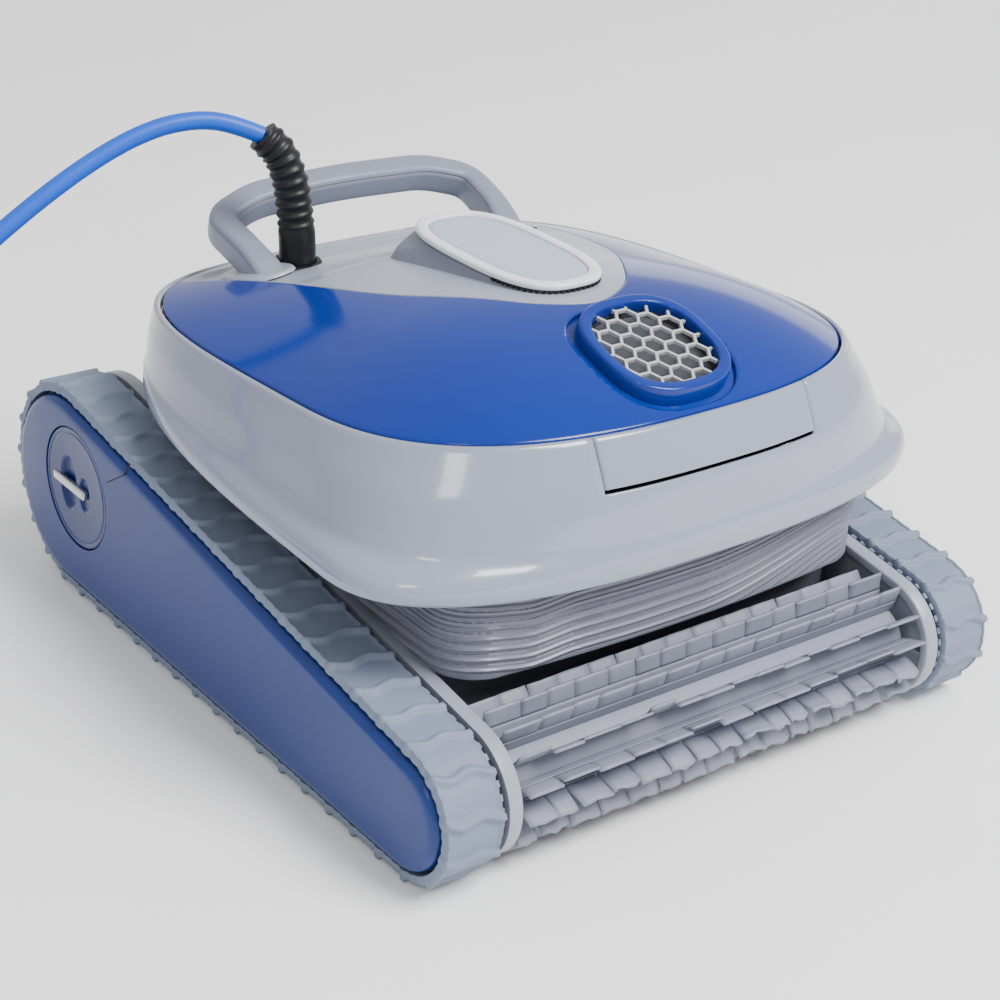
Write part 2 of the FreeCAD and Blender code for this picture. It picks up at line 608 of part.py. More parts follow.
def make_base_latch(name, sign):
    """A turn button under the hull that holds one edge of the base plate."""
    centre = "%d*dims.latch_y" % sign
    arm_y = centre if sign < 0 else centre + "-dims.latch_length+8"
    arm = box("base_latch_%s_arm" % name, "dims.latch_wide", "dims.latch_length-8", "dims.latch_thick",
              "-dims.latch_wide/2", arm_y, "dims.hull_bottom_z-dims.latch_thick-0.3")
    boss = post("base_latch_%s_boss" % name, "dims.latch_wide/2", "dims.latch_thick", "0", centre,
                "dims.hull_bottom_z-dims.latch_thick-0.3")
    pin = post("base_latch_%s_pin" % name, "dims.latch_pin_radius", "dims.hull_wall+4.3", "0", centre,
               "dims.hull_bottom_z-0.8")
    head = post("base_latch_%s_head" % name, "dims.latch_pin_radius+3", "2", "0", centre,
                "dims.hull_bottom_z+dims.hull_wall+0.5")
    keep(fuse("base_latch_%s_fuse" % name, [arm, boss, pin, head]), "base_latch_" + name)


def make_filter_tray():
    """An open box on the hull floor with a raised floor that has the inlet in it."""
    wall = "dims.tray_wall"
    foot = "dims.hull_bottom_z+dims.hull_wall"
    wide = "dims.tray_wide-2*" + wall
    long = "dims.tray_rear_y-dims.tray_front_y"
    outer = box("filter_tray_outer", "dims.tray_wide", long, "dims.tray_top_z-(%s)" % foot,
                "-dims.tray_wide/2", "dims.tray_front_y", foot)
    inner = box("filter_tray_inner", wide, long + "-2*" + wall, "dims.tray_top_z",
                "-dims.tray_wide/2+" + wall, "dims.tray_front_y+" + wall, "dims.tray_floor_z+" + wall)
    under = box("filter_tray_under", wide, long + "-2*" + wall, "dims.tray_floor_z",
                "-dims.tray_wide/2+" + wall, "dims.tray_front_y+" + wall, "0")
    inlet = box("filter_tray_inlet", "dims.slot_wide+16", "2*(dims.slot_y+dims.inlet_flap_long/2+8)", "10",
                "-dims.slot_wide/2-8", "-dims.slot_y-dims.inlet_flap_long/2-8", "dims.tray_floor_z-2")
    hollow = fuse("filter_tray_hollow", [inner, under, inlet])
    keep(cut("filter_tray_cut", outer, hollow), "filter_tray")


def make_deck_plate():
    """The level plate that closes the hull and carries the upper shell."""
    low = size("hull_top_z")
    thick = size("plate_thick")
    ring = skirt_ring(low, size("shell_wall") + 5.0)
    plate = Part.Face(ring).extrude(Vector(0, 0, thick))
    window = Part.makeBox(size("plate_window_wide"), size("plate_window_rear_y") - size("tray_front_y"), thick + 4,
                          Vector(-size("plate_window_wide") / 2, size("tray_front_y"), low - 2))
    duct = Part.makeCylinder(size("duct_radius") + 0.3, thick + 4, Vector(0, size("duct_y"), low - 2))
    rear_limit = Part.makeBox(500, 400, thick, Vector(-250, -210, low))
    plate = plate.cut(window).cut(duct).common(rear_limit)
    keep(feature("deck_plate_sheet", plate), "deck_plate")


def skirt_ring(level, inset):
    """The skirt's lower outline as a level curve, set in by a distance."""
    return egg_ring(size("skirt_half"), size("skirt_mid_y"), size("skirt_front"), size("skirt_rear"),
                    size("skirt_front_power"), size("skirt_rear_power"), level, 0.0, grow=-inset)


# ---- upper shell, top cover and deck ------------------------------------------------------------

# Share of the way from seam to skirt: (down, out at the sides, out in front). The flank falls steeply at the
# sides and flares into a rounded lower edge. In front it swells out sooner.
FLANK = ((0.0, 0.0, 0.0), (0.12, 0.11, 0.22), (0.34, 0.33, 0.58), (0.5, 0.45, 0.74), (0.64, 0.56, 0.82),
         (0.745, 0.68, 0.87), (0.82, 0.9, 0.96), (0.9, 1.0, 1.0), (1.0, 0.985, 0.99))


def flank_ring(down, out, front_out, grow=0.0, drop=0.0):
    """One ring of the shell's side between the seam (0) and the skirt's lower edge (1)."""
    def mix(first, second, share):
        return size(first) + (size(second) - size(first)) * share
    rim = size("rim_wide")
    mid = mix("seam_mid_y", "skirt_mid_y", out)
    tip = (size("seam_mid_y") - size("seam_front")) * (1 - front_out)
    tip += (size("skirt_mid_y") - size("skirt_front")) * front_out
    return egg_ring(mix("seam_half", "skirt_half", out) + rim * (1 - out), mid,
                    mid - tip + rim * (1 - front_out),
                    mix("seam_rear", "skirt_rear", out) + rim * (1 - out),
                    mix("seam_front_power", "skirt_front_power", out),
                    mix("seam_rear_power", "skirt_rear_power", out),
                    mix("seam_z", "skirt_z", down) - drop, mix("seam_slope", "skirt_slope", down), grow=grow)


def shell_solid(grow):
    return Part.makeLoft([flank_ring(*station, grow) for station in FLANK], True, False)


def seam_hole(grow):
    """A tall prism with the outline of the top cover."""
    low = egg_ring(size("seam_half"), size("seam_mid_y"), size("seam_front"), size("seam_rear"),
                   size("seam_front_power"), size("seam_rear_power"), 150.0, 0.0, grow=grow)
    return Part.Face(low).extrude(Vector(0, 0, 150))


def make_shell_and_flap():
    outer = shell_solid(0.0)
    stations = [(-0.12, 0.0, 0.0)] + list(FLANK[1:]) + [(1.12, 0.985, 0.99)]
    cavity = Part.makeLoft([flank_ring(*station, -size("shell_wall")) for station in stations], True, False)
    shell = outer.cut(cavity)
    half = size("flap_half")
    top_z = size("seam_z") - size("seam_slope") * 200 + 30
    flap_low = size("seam_z") + size("seam_slope") * size("hull_front_y") - size("flap_drop")
    window = Part.makeBox(2 * half, 80, top_z - flap_low, Vector(-half, -230, flap_low))
    side_gap = size("flap_side_gap")
    leaf_box = Part.makeBox(2 * half - 2 * side_gap, 80, top_z - flap_low - size("flap_lower_gap"),
                            Vector(-half + side_gap, -230, flap_low + size("flap_lower_gap")))
    front_only = Part.makeBox(400, 75, 200, Vector(-200, -230, 100))
    leaf = shell.common(leaf_box).common(front_only).cut(seam_hole(size("flap_top_gap")))
    pin_y = size("flap_pin_y")
    pin_z = size("flap_pin_z")
    hinge = 2 * half - 40
    knuckle = Part.makeCylinder(size("flap_pin_radius") + 1.5, hinge, Vector(-hinge / 2, pin_y, pin_z), Vector(1, 0, 0))
    link = Part.makeBox(hinge, 9, 4, Vector(-hinge / 2, pin_y - 9, pin_z - 3))
    link = link.common(shell_solid(-size("shell_wall") / 2))
    pin_hole = Part.makeCylinder(size("flap_pin_radius") + size("running_gap"), 4 * half,
                                 Vector(-2 * half, pin_y, pin_z), Vector(1, 0, 0))
    leaf = leaf.fuse([knuckle, link]).cut(pin_hole)
    ears = []
    for near_x in (-half - 6.5, half + 1.0):
        ear = Part.makeBox(5.5, 12, 5, Vector(near_x, pin_y - 9, pin_z - 2.8))
        ears.append(ear.common(shell_solid(-size("shell_wall") / 2)))
    rod = Part.makeCylinder(size("flap_pin_radius"), 4 * half, Vector(-2 * half, pin_y, pin_z), Vector(1, 0, 0))
    body = shell.cut(window.common(front_only)).fuse(ears).cut(rod)
    keep(feature("upper_shell_skin", body), "upper_shell")
    keep(feature("front_flap_leaf", leaf), "front_flap")
    keep(axle("flap_pin_rod", "dims.flap_pin_radius", "-dims.flap_half-6", "2*dims.flap_half+12",
              "dims.flap_pin_y", "dims.flap_pin_z"), "flap_pin")


def dome_ring(share, grow=0.0, drop=0.0):
    """One ring of the domed top, from the seam (1) towards the middle (0)."""
    rise = 1 - share ** size("dome_power")
    level = size("seam_z") + size("dome_rise") * rise - drop
    slope = size("seam_slope") + size("dome_rise_slope") * rise
    centre = size("seam_mid_y") + (size("seam_rear") - size("seam_front")) / 2
    mid_y = centre + (size("seam_mid_y") - centre) * share
    return egg_ring(size("seam_half") * share, mid_y, size("seam_front") * share, size("seam_rear") * share,
                    size("seam_front_power"), size("seam_rear_power"), level, slope, grow=grow)


DOME = (1.0, 0.93, 0.84, 0.72, 0.58, 0.42, 0.26, 0.12)


def dome_solid(grow, drop):
    wires = [dome_ring(share, grow, drop) for share in DOME]
    return Part.makeLoft(wires, True, False)


def deck_outline(inset):
    """A tall prism with the tear-drop outline of the rear deck, its point towards the front."""
    points = ((0, -86), (31, -73), (53, -47), (77, -8), (97, 55), (109, 110), (119, 160))
    right = [Vector(x - inset if x else 0, y + (inset if y < 0 else 0), 150) for x, y in points]
    left = [Vector(-p.x, p.y, p.z) for p in reversed(right[1:])]
    curve = Part.BSplineCurve()
    curve.interpolate(left + right)
    first = left[0]
    last = right[-1]
    tail = Part.makePolygon([last, Vector(last.x, 230, 150), Vector(first.x, 230, 150), first])
    outline = Part.Wire([curve.toShape()] + tail.Edges)
    return Part.Face(outline).extrude(Vector(0, 0, 150))


def pedestal_solid(grow):
    """The drafted block under the oval cap."""
    top = size("cap_top_z") - size("cap_thick")
    drop = size("pedestal_drop")
    spread = size("pedestal_spread")
    wires = []
    for share in (0.0, 0.3, 0.65, 1.0):
        flare = spread * share + grow
        wires.append(oval_ring(size("cap_half") - 1.5 + flare, size("cap_long") - 1.5 + flare,
                               size("cap_mid_y"), size("cap_power"), top - drop * share))
    return Part.makeLoft(wires, True, False)


def collar_solid(grow, deep, above=0.0):
    """The outlet collar's outer form, square to its own sloping mouth."""
    return tilted_prism(size("outlet_half") + grow, size("outlet_long") + grow, deep, above)


def tilted_prism(half, long, deep, above):
    ring = oval_ring(half, long, size("outlet_y"), size("outlet_power"), size("outlet_z"), size("outlet_slope"))
    normal = Vector(0, -size("outlet_slope"), 1)
    normal.normalize()
    ring.translate(normal * above)
    return Part.Face(ring).extrude(normal * (-deep - above))


def make_top():
    skin = size("shell_wall")
    dome = dome_solid(0.0, 0.0).cut(dome_solid(-skin, skin))
    dome = dome.cut(Part.makeBox(500, 500, 100, Vector(-250, -250, 90)))
    collar_hole = collar_solid(size("collar_wall") + 0.2, 60, 30)
    cover = dome.cut(deck_outline(-0.3)).cut(collar_hole)
    keep(feature("top_cover_skin", cover), "top_cover")
    thick = dome_solid(0.0, 0.0).cut(dome_solid(-skin - 1, skin + 1))
    deck = thick.common(deck_outline(0.3)).cut(pedestal_solid(0.25))
    gland = Part.makeCylinder(size("gland_radius") + 0.2, 80, Vector(RELIEF[0][0], RELIEF[0][1], 170))
    deck = deck.cut(gland)
    deck = deck.cut(handle_solid(0.2))
    keep(feature("top_deck_skin", deck), "top_deck")
    pedestal = pedestal_solid(0.0).cut(pedestal_solid(-skin))
    lid = Part.Face(oval_ring(size("cap_half") - 1.5, size("cap_long") - 1.5, size("cap_mid_y"), size("cap_power"),
                              size("cap_top_z") - size("cap_thick") - skin)).extrude(Vector(0, 0, skin))
    keep(feature("cap_pedestal_block", pedestal.fuse(lid)), "cap_pedestal")


def make_cap():
    low = size("cap_top_z") - size("cap_thick")
    wide = size("cap_ring_wide")
    outer = Part.Face(oval_ring(size("cap_half"), size("cap_long"), size("cap_mid_y"), size("cap_power"), low))
    inner = Part.Face(oval_ring(size("cap_half") - wide, size("cap_long") - wide, size("cap_mid_y"),
                                size("cap_power"), low - 1))
    ring = outer.extrude(Vector(0, 0, size("cap_thick"))).cut(inner.extrude(Vector(0, 0, size("cap_thick") + 2)))
    keep(feature("cap_ring_band", ring), "cap_ring")
    panel = Part.Face(oval_ring(size("cap_half") - wide - 0.3, size("cap_long") - wide - 0.3,
                                size("cap_mid_y"), size("cap_power"), low))
    keep(feature("cap_panel_sheet", panel.extrude(Vector(0, 0, size("cap_thick") - 1))), "cap_panel")


def make_outlet():
    collar = collar_solid(size("collar_wall"), size("collar_deep"))
    mouth = tilted_prism(size("outlet_half"), size("outlet_long"), size("collar_deep") + 2, 2)
    keep(feature("outlet_collar_ring", collar.cut(mouth)), "outlet_collar")
    keep(feature("outlet_grille_mesh", grille_shape()), "outlet_grille")
    ring = post("outlet_duct_outer", "dims.duct_radius", "dims.duct_top_z-dims.duct_foot_z", "0", "dims.duct_y",
                "dims.duct_foot_z")
    hole = post("outlet_duct_inner", "dims.duct_radius-dims.duct_wall", "dims.duct_top_z-dims.duct_foot_z+4",
                "0", "dims.duct_y", "dims.duct_foot_z-2")
    keep(cut("outlet_duct_cut", ring, hole), "outlet_duct")


def grille_shape():
    """A honeycomb plate inside the collar."""
    drop = size("grille_drop")
    thick = size("grille_thick")
    half = size("outlet_half") - 0.3
    long = size("outlet_long") - 0.3
    plate = tilted_prism(half, long, drop + thick, -drop)
    pitch = size("hex_pitch")
    apothem = (pitch - size("hex_wall")) / 2
    corner = apothem / math.cos(math.pi / 6)
    normal = Vector(0, -size("outlet_slope"), 1)
    normal.normalize()
    ahead = Vector(0, 1, size("outlet_slope"))
    ahead.normalize()
    across = Vector(1, 0, 0)
    centre = Vector(0, size("outlet_y"), size("outlet_z"))
    holes = []
    for column in range(-4, 5):
        for row in range(-4, 5):
            shift_x = column * pitch * math.cos(math.pi / 6)
            shift_y = row * pitch + (pitch / 2 if column % 2 else 0)
            if math.hypot(shift_x / half, shift_y / long) > 1.4:
                continue
            middle = centre + across * shift_x + ahead * shift_y
            corners = []
            for index in range(7):
                turn = math.pi / 3 * index
                corners.append(middle + across * corner * math.cos(turn) + ahead * corner * math.sin(turn))
            prism = Part.Face(Part.makePolygon(corners)).extrude(normal * -(drop + thick + 3))
            holes.append(prism)
    return plate.cut(holes)


# ---- pump --------------------------------------------------------------------------------------

def make_pump():
    motor = post("pump_motor_can", "dims.pump_radius", "dims.pump_top_z-dims.pump_foot_z", "0", "dims.duct_y",
                 "dims.pump_foot_z")
    foot = box("pump_motor_foot", "90", "14", "dims.pump_foot_z-dims.bay_top_z-dims.hull_wall", "-45",
               "dims.duct_y-7", "dims.bay_top_z+dims.hull_wall")
    keep(fuse("pump_motor_fuse", [motor, foot]), "pump_motor")
    hub = post("impeller_hub", "dims.impeller_hub", "dims.impeller_high", "0", "dims.duct_y", "dims.impeller_z")
    shaft = post("impeller_shaft", "dims.pump_shaft_radius", "dims.impeller_z-dims.pump_top_z+1.7", "0",
                 "dims.duct_y", "dims.pump_top_z+0.3")
    blades = [hub, shaft]
    for index in range(4):
        blade = box("impeller_blade_%d" % index, "dims.impeller_radius-dims.impeller_hub+2", "2",
                    "dims.impeller_high", "0", "0", "0")
        blade.setExpression("Placement.Base.z", None)
        blade.setExpression("Placement.Base.x", None)
        blade.setExpression("Placement.Base.y", None)
        pitch = Rotation(Vector(1, 0, 0), 35)
        spin = Rotation(Vector(0, 0, 1), 90 * index)
        lift = size("impeller_z") + 1.5
        lean = Placement(Vector(size("impeller_hub") - 2, 5, 0), pitch)
        blade.Placement = Placement(Vector(0, size("duct_y"), lift), spin).multiply(lean)
        blades.append(blade)
    keep(fuse("impeller_fuse", blades), "impeller")


# ---- drive -------------------------------------------------------------------------------------

def make_drive():
    wall = "dims.motor_box_wall"
    outer = box("motor_box_outer", "dims.motor_box_wide", "dims.motor_box_long", "dims.motor_box_high",
                "-dims.motor_box_wide/2", "dims.motor_box_y", "dims.motor_box_z")
    inner = box("motor_box_inner", "dims.motor_box_wide-2*" + wall, "dims.motor_box_long-2*" + wall,
                "dims.motor_box_high", "-dims.motor_box_wide/2+" + wall, "dims.motor_box_y+" + wall,
                "dims.motor_box_z+" + wall)
    hole = axle("motor_box_axle_hole", "dims.rear_axle_radius+0.3", "-dims.motor_box_wide/2-5",
                "dims.motor_box_wide+10", *REAR)
    hollow = fuse("motor_box_hollow", [inner, hole])
    keep(cut("motor_box_cut", outer, hollow), "motor_box")
    keep(box("motor_box_lid_sheet", "dims.motor_box_wide", "dims.motor_box_long", "dims.motor_lid_thick",
             "-dims.motor_box_wide/2", "dims.motor_box_y", "dims.motor_box_z+dims.motor_box_high"), "motor_box_lid")
    for side in (-1, 1):
        name = "drive_motor_" + side_name(side)
        keep(axle(name + "_can", "dims.drive_motor_radius", "dims.drive_motor_inner_x",
                  "dims.drive_motor_outer_x-dims.drive_motor_inner_x-0.3", *REAR, side), name)
    feet = []
    for index, sign in enumerate((-1, 1)):
        feet.append(box("motor_foot_%d" % index, "20", "dims.motor_box_long",
                        "dims.motor_box_z-dims.hull_bottom_z-dims.hull_wall", "%d*80-10" % sign,
                        "dims.motor_box_y", "dims.hull_bottom_z+dims.hull_wall"))
    keep(fuse("motor_feet_pair", feet), "motor_feet")


# ---- brush -------------------------------------------------------------------------------------

def make_brush():
    shaft = axle("brush_shaft_rod", "dims.front_axle_radius", "-dims.axle_outer_x", "2*dims.axle_outer_x", *FRONT)
    keep(shaft, "brush_shaft")
    tube = axle("brush_core_outer", "dims.brush_core_radius", "-dims.brush_half", "2*dims.brush_half", *FRONT)
    bore = axle("brush_core_bore", "dims.front_axle_radius", "-dims.brush_half-2", "2*dims.brush_half+4", *FRONT)
    rings = []
    for index, sign in enumerate((-1, 1)):
        start = "dims.brush_half-25" if sign > 0 else "-dims.brush_half-3"
        ring = axle("brush_core_cup_%d" % index, "dims.brush_core_radius-dims.brush_tube_wall", start, "28", *FRONT)
        pin = axle("brush_core_boss_%d" % index, "dims.front_axle_radius+4", start, "28", *FRONT)
        rings.append(cut("brush_core_ring_%d" % index, ring, pin))
    hollow = fuse("brush_core_hollow", [bore] + rings)
    keep(cut("brush_core_cut", tube, hollow), "brush_core")
    keep(feature("brush_fins_vanes", fin_shape()), "brush_fins")


def fin_shape():
    """A sleeve on the core with straight fins round it."""
    core = size("brush_core_radius")
    half = size("brush_half")
    centre = Vector(-half, size("front_axle_y"), size("front_axle_z"))
    sleeve = Part.makeCylinder(core + 1.6, 2 * half, centre, Vector(1, 0, 0))
    fins = []
    count = int(size("fin_count"))
    thick = size("fin_thick")
    tip = size("fin_tip_radius")
    for index in range(count):
        fin = Part.makeBox(2 * half, thick, tip - core - 1, Vector(-half, -thick / 2, core + 1))
        fin.rotate(Vector(), Vector(1, 0, 0), 360.0 * (index + 0.27) / count)
        fin.translate(Vector(0, centre.y, centre.z))
        fins.append(fin)
    bore = Part.makeCylinder(core + 0.02, 2 * half + 4, centre - Vector(2, 0, 0), Vector(1, 0, 0))
    return sleeve.fuse(fins).cut(bore)


# ---- handle ------------------------------------------------------------------------------------

HANDLE = ((88, 103, 200), (93, 127, 217.5), (95.5, 164, 228), (64, 172.5, 236), (0, 172.5, 238.5))


def handle_solid(grow):
    """A chamfered bar swept from foot to foot over straight runs and tangent arcs."""
    right = [Vector(*point) for point in HANDLE]
    path = right + [Vector(-p.x, p.y, p.z) for p in reversed(right[:-1])]
    route, radii = rounded_route([tuple(p) for p in path])
    ahead = path[1] - path[0]
    ahead.normalize()
    across = Vector(1, 0, 0)
    across = across - ahead * across.dot(ahead)
    across.normalize()
    up = across.cross(ahead)
    wide = size("handle_wide") / 2 + grow
    tall = size("handle_tall") / 2 + grow
    chop = size("handle_chamfer")
    corners = ((wide, -tall + chop), (wide, tall - chop), (wide - chop, tall), (-wide + chop, tall),
               (-wide, tall - chop), (-wide, -tall + chop), (-wide + chop, -tall), (wide - chop, -tall),
               (wide, -tall + chop))
    profile = Part.makePolygon([path[0] + across * a + up * b for a, b in corners])
    return route.makePipeShell([profile], True, False)


def make_handle():
    keep(feature("carry_handle_bar", handle_solid(0.0)), "carry_handle")


# ---- cable -------------------------------------------------------------------------------------

# The strain relief rises from the deck beside the handle and leans outwards at its top.
RELIEF = ((-65.5, 119, 205), (-65.5, 119, 225), (-67.5, 119.7, 247), (-70.5, 121.5, 267), (-75.5, 125.5, 282),
          (-84, 130.5, 292))

# Route of the free cable from the strain relief's mouth to the top of the coil.
ROUTE = ((-84, 130.5, 292), (-100, 139, 299.6), (-121, 146.6, 302.4), (-148, 151.8, 298.4), (-182, 155, 284.6),
         (-224, 156.4, 261), (-270, 158, 229), (-312, 162, 189), (-347, 169, 144), (-377, 181, 103),
         (-406, 197, 72), (-437, 212, 51), (-470, 221, 40))


def rounded_route(points):
    """Straight runs joined by tangent arcs. Each arc is as large as its two runs allow."""
    spots = [Vector(*point) for point in points]
    edges = []
    radii = []
    start = spots[0]
    for before, corner, after in zip(spots, spots[1:], spots[2:]):
        incoming = (corner - before)
        outgoing = (after - corner)
        shorter = min(incoming.Length, outgoing.Length)
        first = Vector(incoming)
        first.normalize()
        second = Vector(outgoing)
        second.normalize()
        turn = first.getAngle(second)
        reach = 0.45 * shorter
        radii.append(reach / math.tan(turn / 2))
        enter = corner - first * reach
        leave = corner + second * reach
        inward = second - first
        inward.normalize()
        middle = corner + inward * (radii[-1] / math.cos(turn / 2) - radii[-1])
        edges.append(Part.LineSegment(start, enter).toShape())
        edges.append(Part.Arc(enter, middle, leave).toShape())
        start = leave
    edges.append(Part.LineSegment(start, spots[-1]).toShape())
    return Part.Wire(edges), radii


def make_cable():
    radius = size("cable_diameter") / 2
    route, radii = rounded_route(ROUTE)
    ahead = Vector(*ROUTE[1]) - Vector(*ROUTE[0])
    profile = Part.Wire(Part.makeCircle(radius, Vector(*ROUTE[0]), ahead))
    tube = route.makePipeShell([profile], True, False)
    print("cable radii", ["%.0f" % value for value in radii])
    print("cable tube length %.1f volume ratio %.4f"
          % (route.Length, tube.Volume / (route.Length * math.pi * radius * radius)))
    keep(feature("cable_tube_run", tube), "cable_tube")
    keep(feature("strain_relief_boot", relief_shape()), "strain_relief")
    foot = Vector(*RELIEF[0])
    nut = Part.makeCylinder(size("gland_radius"), size("gland_high"), Vector(foot.x, foot.y, 208))
    nut = nut.cut(Part.makeCylinder(size("relief_radius") + 0.05, 40, Vector(foot.x, foot.y, 200)))
    keep(feature("cable_gland_ring", nut), "cable_gland")
    half_band = "dims.coil_columns*dims.cable_diameter/2"
    ring = post("cable_coil_outer", "dims.coil_radius+" + half_band, "dims.coil_layers*dims.cable_diameter",
                "dims.coil_mid_x", "dims.coil_mid_y", "0")
    eye = post("cable_coil_eye", "dims.coil_radius-" + half_band, "dims.coil_layers*dims.cable_diameter+4",
               "dims.coil_mid_x", "dims.coil_mid_y", "-2")
    keep(cut("cable_coil_cut", ring, eye), "cable_coil")
    plug = axle("cable_plug_shell", "dims.plug_radius", "dims.coil_mid_x+15", "dims.plug_length",
                "dims.coil_mid_y-dims.coil_radius-2.5*dims.cable_diameter-dims.plug_radius+2", "dims.plug_radius")
    keep(plug, "cable_plug")


def relief_shape():
    """The strain relief: a round boot swept along its own bend."""
    curve = Part.BSplineCurve()
    curve.interpolate([Vector(*point) for point in RELIEF])
    wires = []
    count = 12
    for index in range(count + 1):
        u = curve.FirstParameter + (curve.LastParameter - curve.FirstParameter) * index / count
        radius = size("relief_radius") - 1.2 * index / count
        wires.append(Part.Wire(Part.makeCircle(radius, curve.value(u), curve.tangent(u)[0])))
    return Part.makeLoft(wires, True, False)


def make_screws():
    """Screws that hold the deck plate to the hull, one group of separate solids."""
    screws = []
    for x in (-136, 136):
        for y in (-110, -20, 70, 138):
            screws.append(Part.makeCylinder(size("screw_radius"), size("screw_high"),
                                            Vector(x, y, size("hull_top_z") + size("plate_thick"))))
    keep(feature("deck_screw_group", Part.makeCompound(screws)), "deck_screws")


def check_document():
    doc.recompute()
    for item in doc.Objects:
        for flag in ("Invalid", "Error"):
            if flag in item.State:
                raise RuntimeError("%s is %s" % (item.Name, item.State))
    for piece in SUBPARTS:
        if piece.Shape.isNull() or not piece.Shape.isValid():
            raise RuntimeError("bad shape: " + piece.Label)


def write_parts():
    for piece in SUBPARTS:
        piece.Shape.exportStep(os.path.join("parts", piece.Label + ".step"))
        limits = piece.Shape.optimalBoundingBox(False)
        print("%-20s solids %2d volume %9.0f  x %7.1f %7.1f  y %7.1f %7.1f  z %6.1f %6.1f"
              % (piece.Label, len(piece.Shape.Solids), piece.Shape.Volume, limits.XMin, limits.XMax,
                 limits.YMin, limits.YMax, limits.ZMin, limits.ZMax))


for side in (-1, 1):
    make_tracks(side)
    make_side_frame(side)
    make_track_guide(side)
    make_side_cover(side)
    make_side_lock(side)
make_hull()
make_base_plate()
make_inlet_flap("front", -1)
make_inlet_flap("rear", 1)
make_base_latch("front", -1)
make_base_latch("rear", 1)
make_filter_tray()
make_deck_plate()
make_shell_and_flap()
make_top()
make_cap()
make_outlet()
make_pump()
make_drive()
make_brush()
make_handle()
make_cable()
make_screws()
check_document()
write_parts()
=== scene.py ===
import json
import math
import random

import bmesh
import bpy
import numpy as np
from mathutils import Matrix, Vector


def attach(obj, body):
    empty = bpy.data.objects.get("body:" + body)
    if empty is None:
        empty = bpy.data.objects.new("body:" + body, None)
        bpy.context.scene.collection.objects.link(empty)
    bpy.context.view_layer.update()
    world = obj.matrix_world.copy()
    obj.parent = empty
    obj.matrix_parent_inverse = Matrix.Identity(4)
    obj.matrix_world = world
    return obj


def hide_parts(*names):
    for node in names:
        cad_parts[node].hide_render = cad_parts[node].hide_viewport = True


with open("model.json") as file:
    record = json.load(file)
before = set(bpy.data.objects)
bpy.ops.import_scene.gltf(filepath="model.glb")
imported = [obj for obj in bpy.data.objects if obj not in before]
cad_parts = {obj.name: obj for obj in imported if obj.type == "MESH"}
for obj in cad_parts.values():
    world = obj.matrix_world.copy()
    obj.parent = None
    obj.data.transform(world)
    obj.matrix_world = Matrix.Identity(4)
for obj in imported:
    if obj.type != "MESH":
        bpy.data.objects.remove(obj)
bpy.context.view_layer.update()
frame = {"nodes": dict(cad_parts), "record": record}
MM = 0.001

# Shapes are worked out in millimetres, in the frame's own directions, and written in metres.


# ---- camera

CAMERA_PLACE = (-0.738385, -0.930833, 0.669895)
CAMERA_RIGHT = (0.7954324, -0.60332857, 0.05728814)
CAMERA_DOWN = (-0.22643366, -0.38354654, -0.89533226)
CAMERA_AHEAD = (0.5621522, 0.69920432, -0.44169924)
FOCAL_LENGTH = 77.276


def add_object(name, data):
    """A new object in the scene."""
    thing = bpy.data.objects.new(name, data)
    bpy.context.scene.collection.objects.link(thing)
    return thing


def make_camera():
    data = bpy.data.cameras.new("camera")
    data.lens = FOCAL_LENGTH
    data.sensor_width = 36.0
    data.clip_end = 50.0
    camera = add_object("camera", data)
    turn = Matrix((Vector(CAMERA_RIGHT), -Vector(CAMERA_DOWN), -Vector(CAMERA_AHEAD))).transposed().to_4x4()
    camera.matrix_world = Matrix.Translation(CAMERA_PLACE) @ turn
    bpy.context.scene.camera = camera


# ---- materials

def srgb(red, green, blue):
    """A colour given in 0 to 255 as linear light."""
    def linear(value):
        value /= 255
        return value / 12.92 if value <= 0.04045 else ((value + 0.055) / 1.055) ** 2.4
    return (linear(red), linear(green), linear(blue), 1.0)


def set_inputs(node, values):
    for key, value in values.items():
        node.inputs[key].default_value = value
    return node


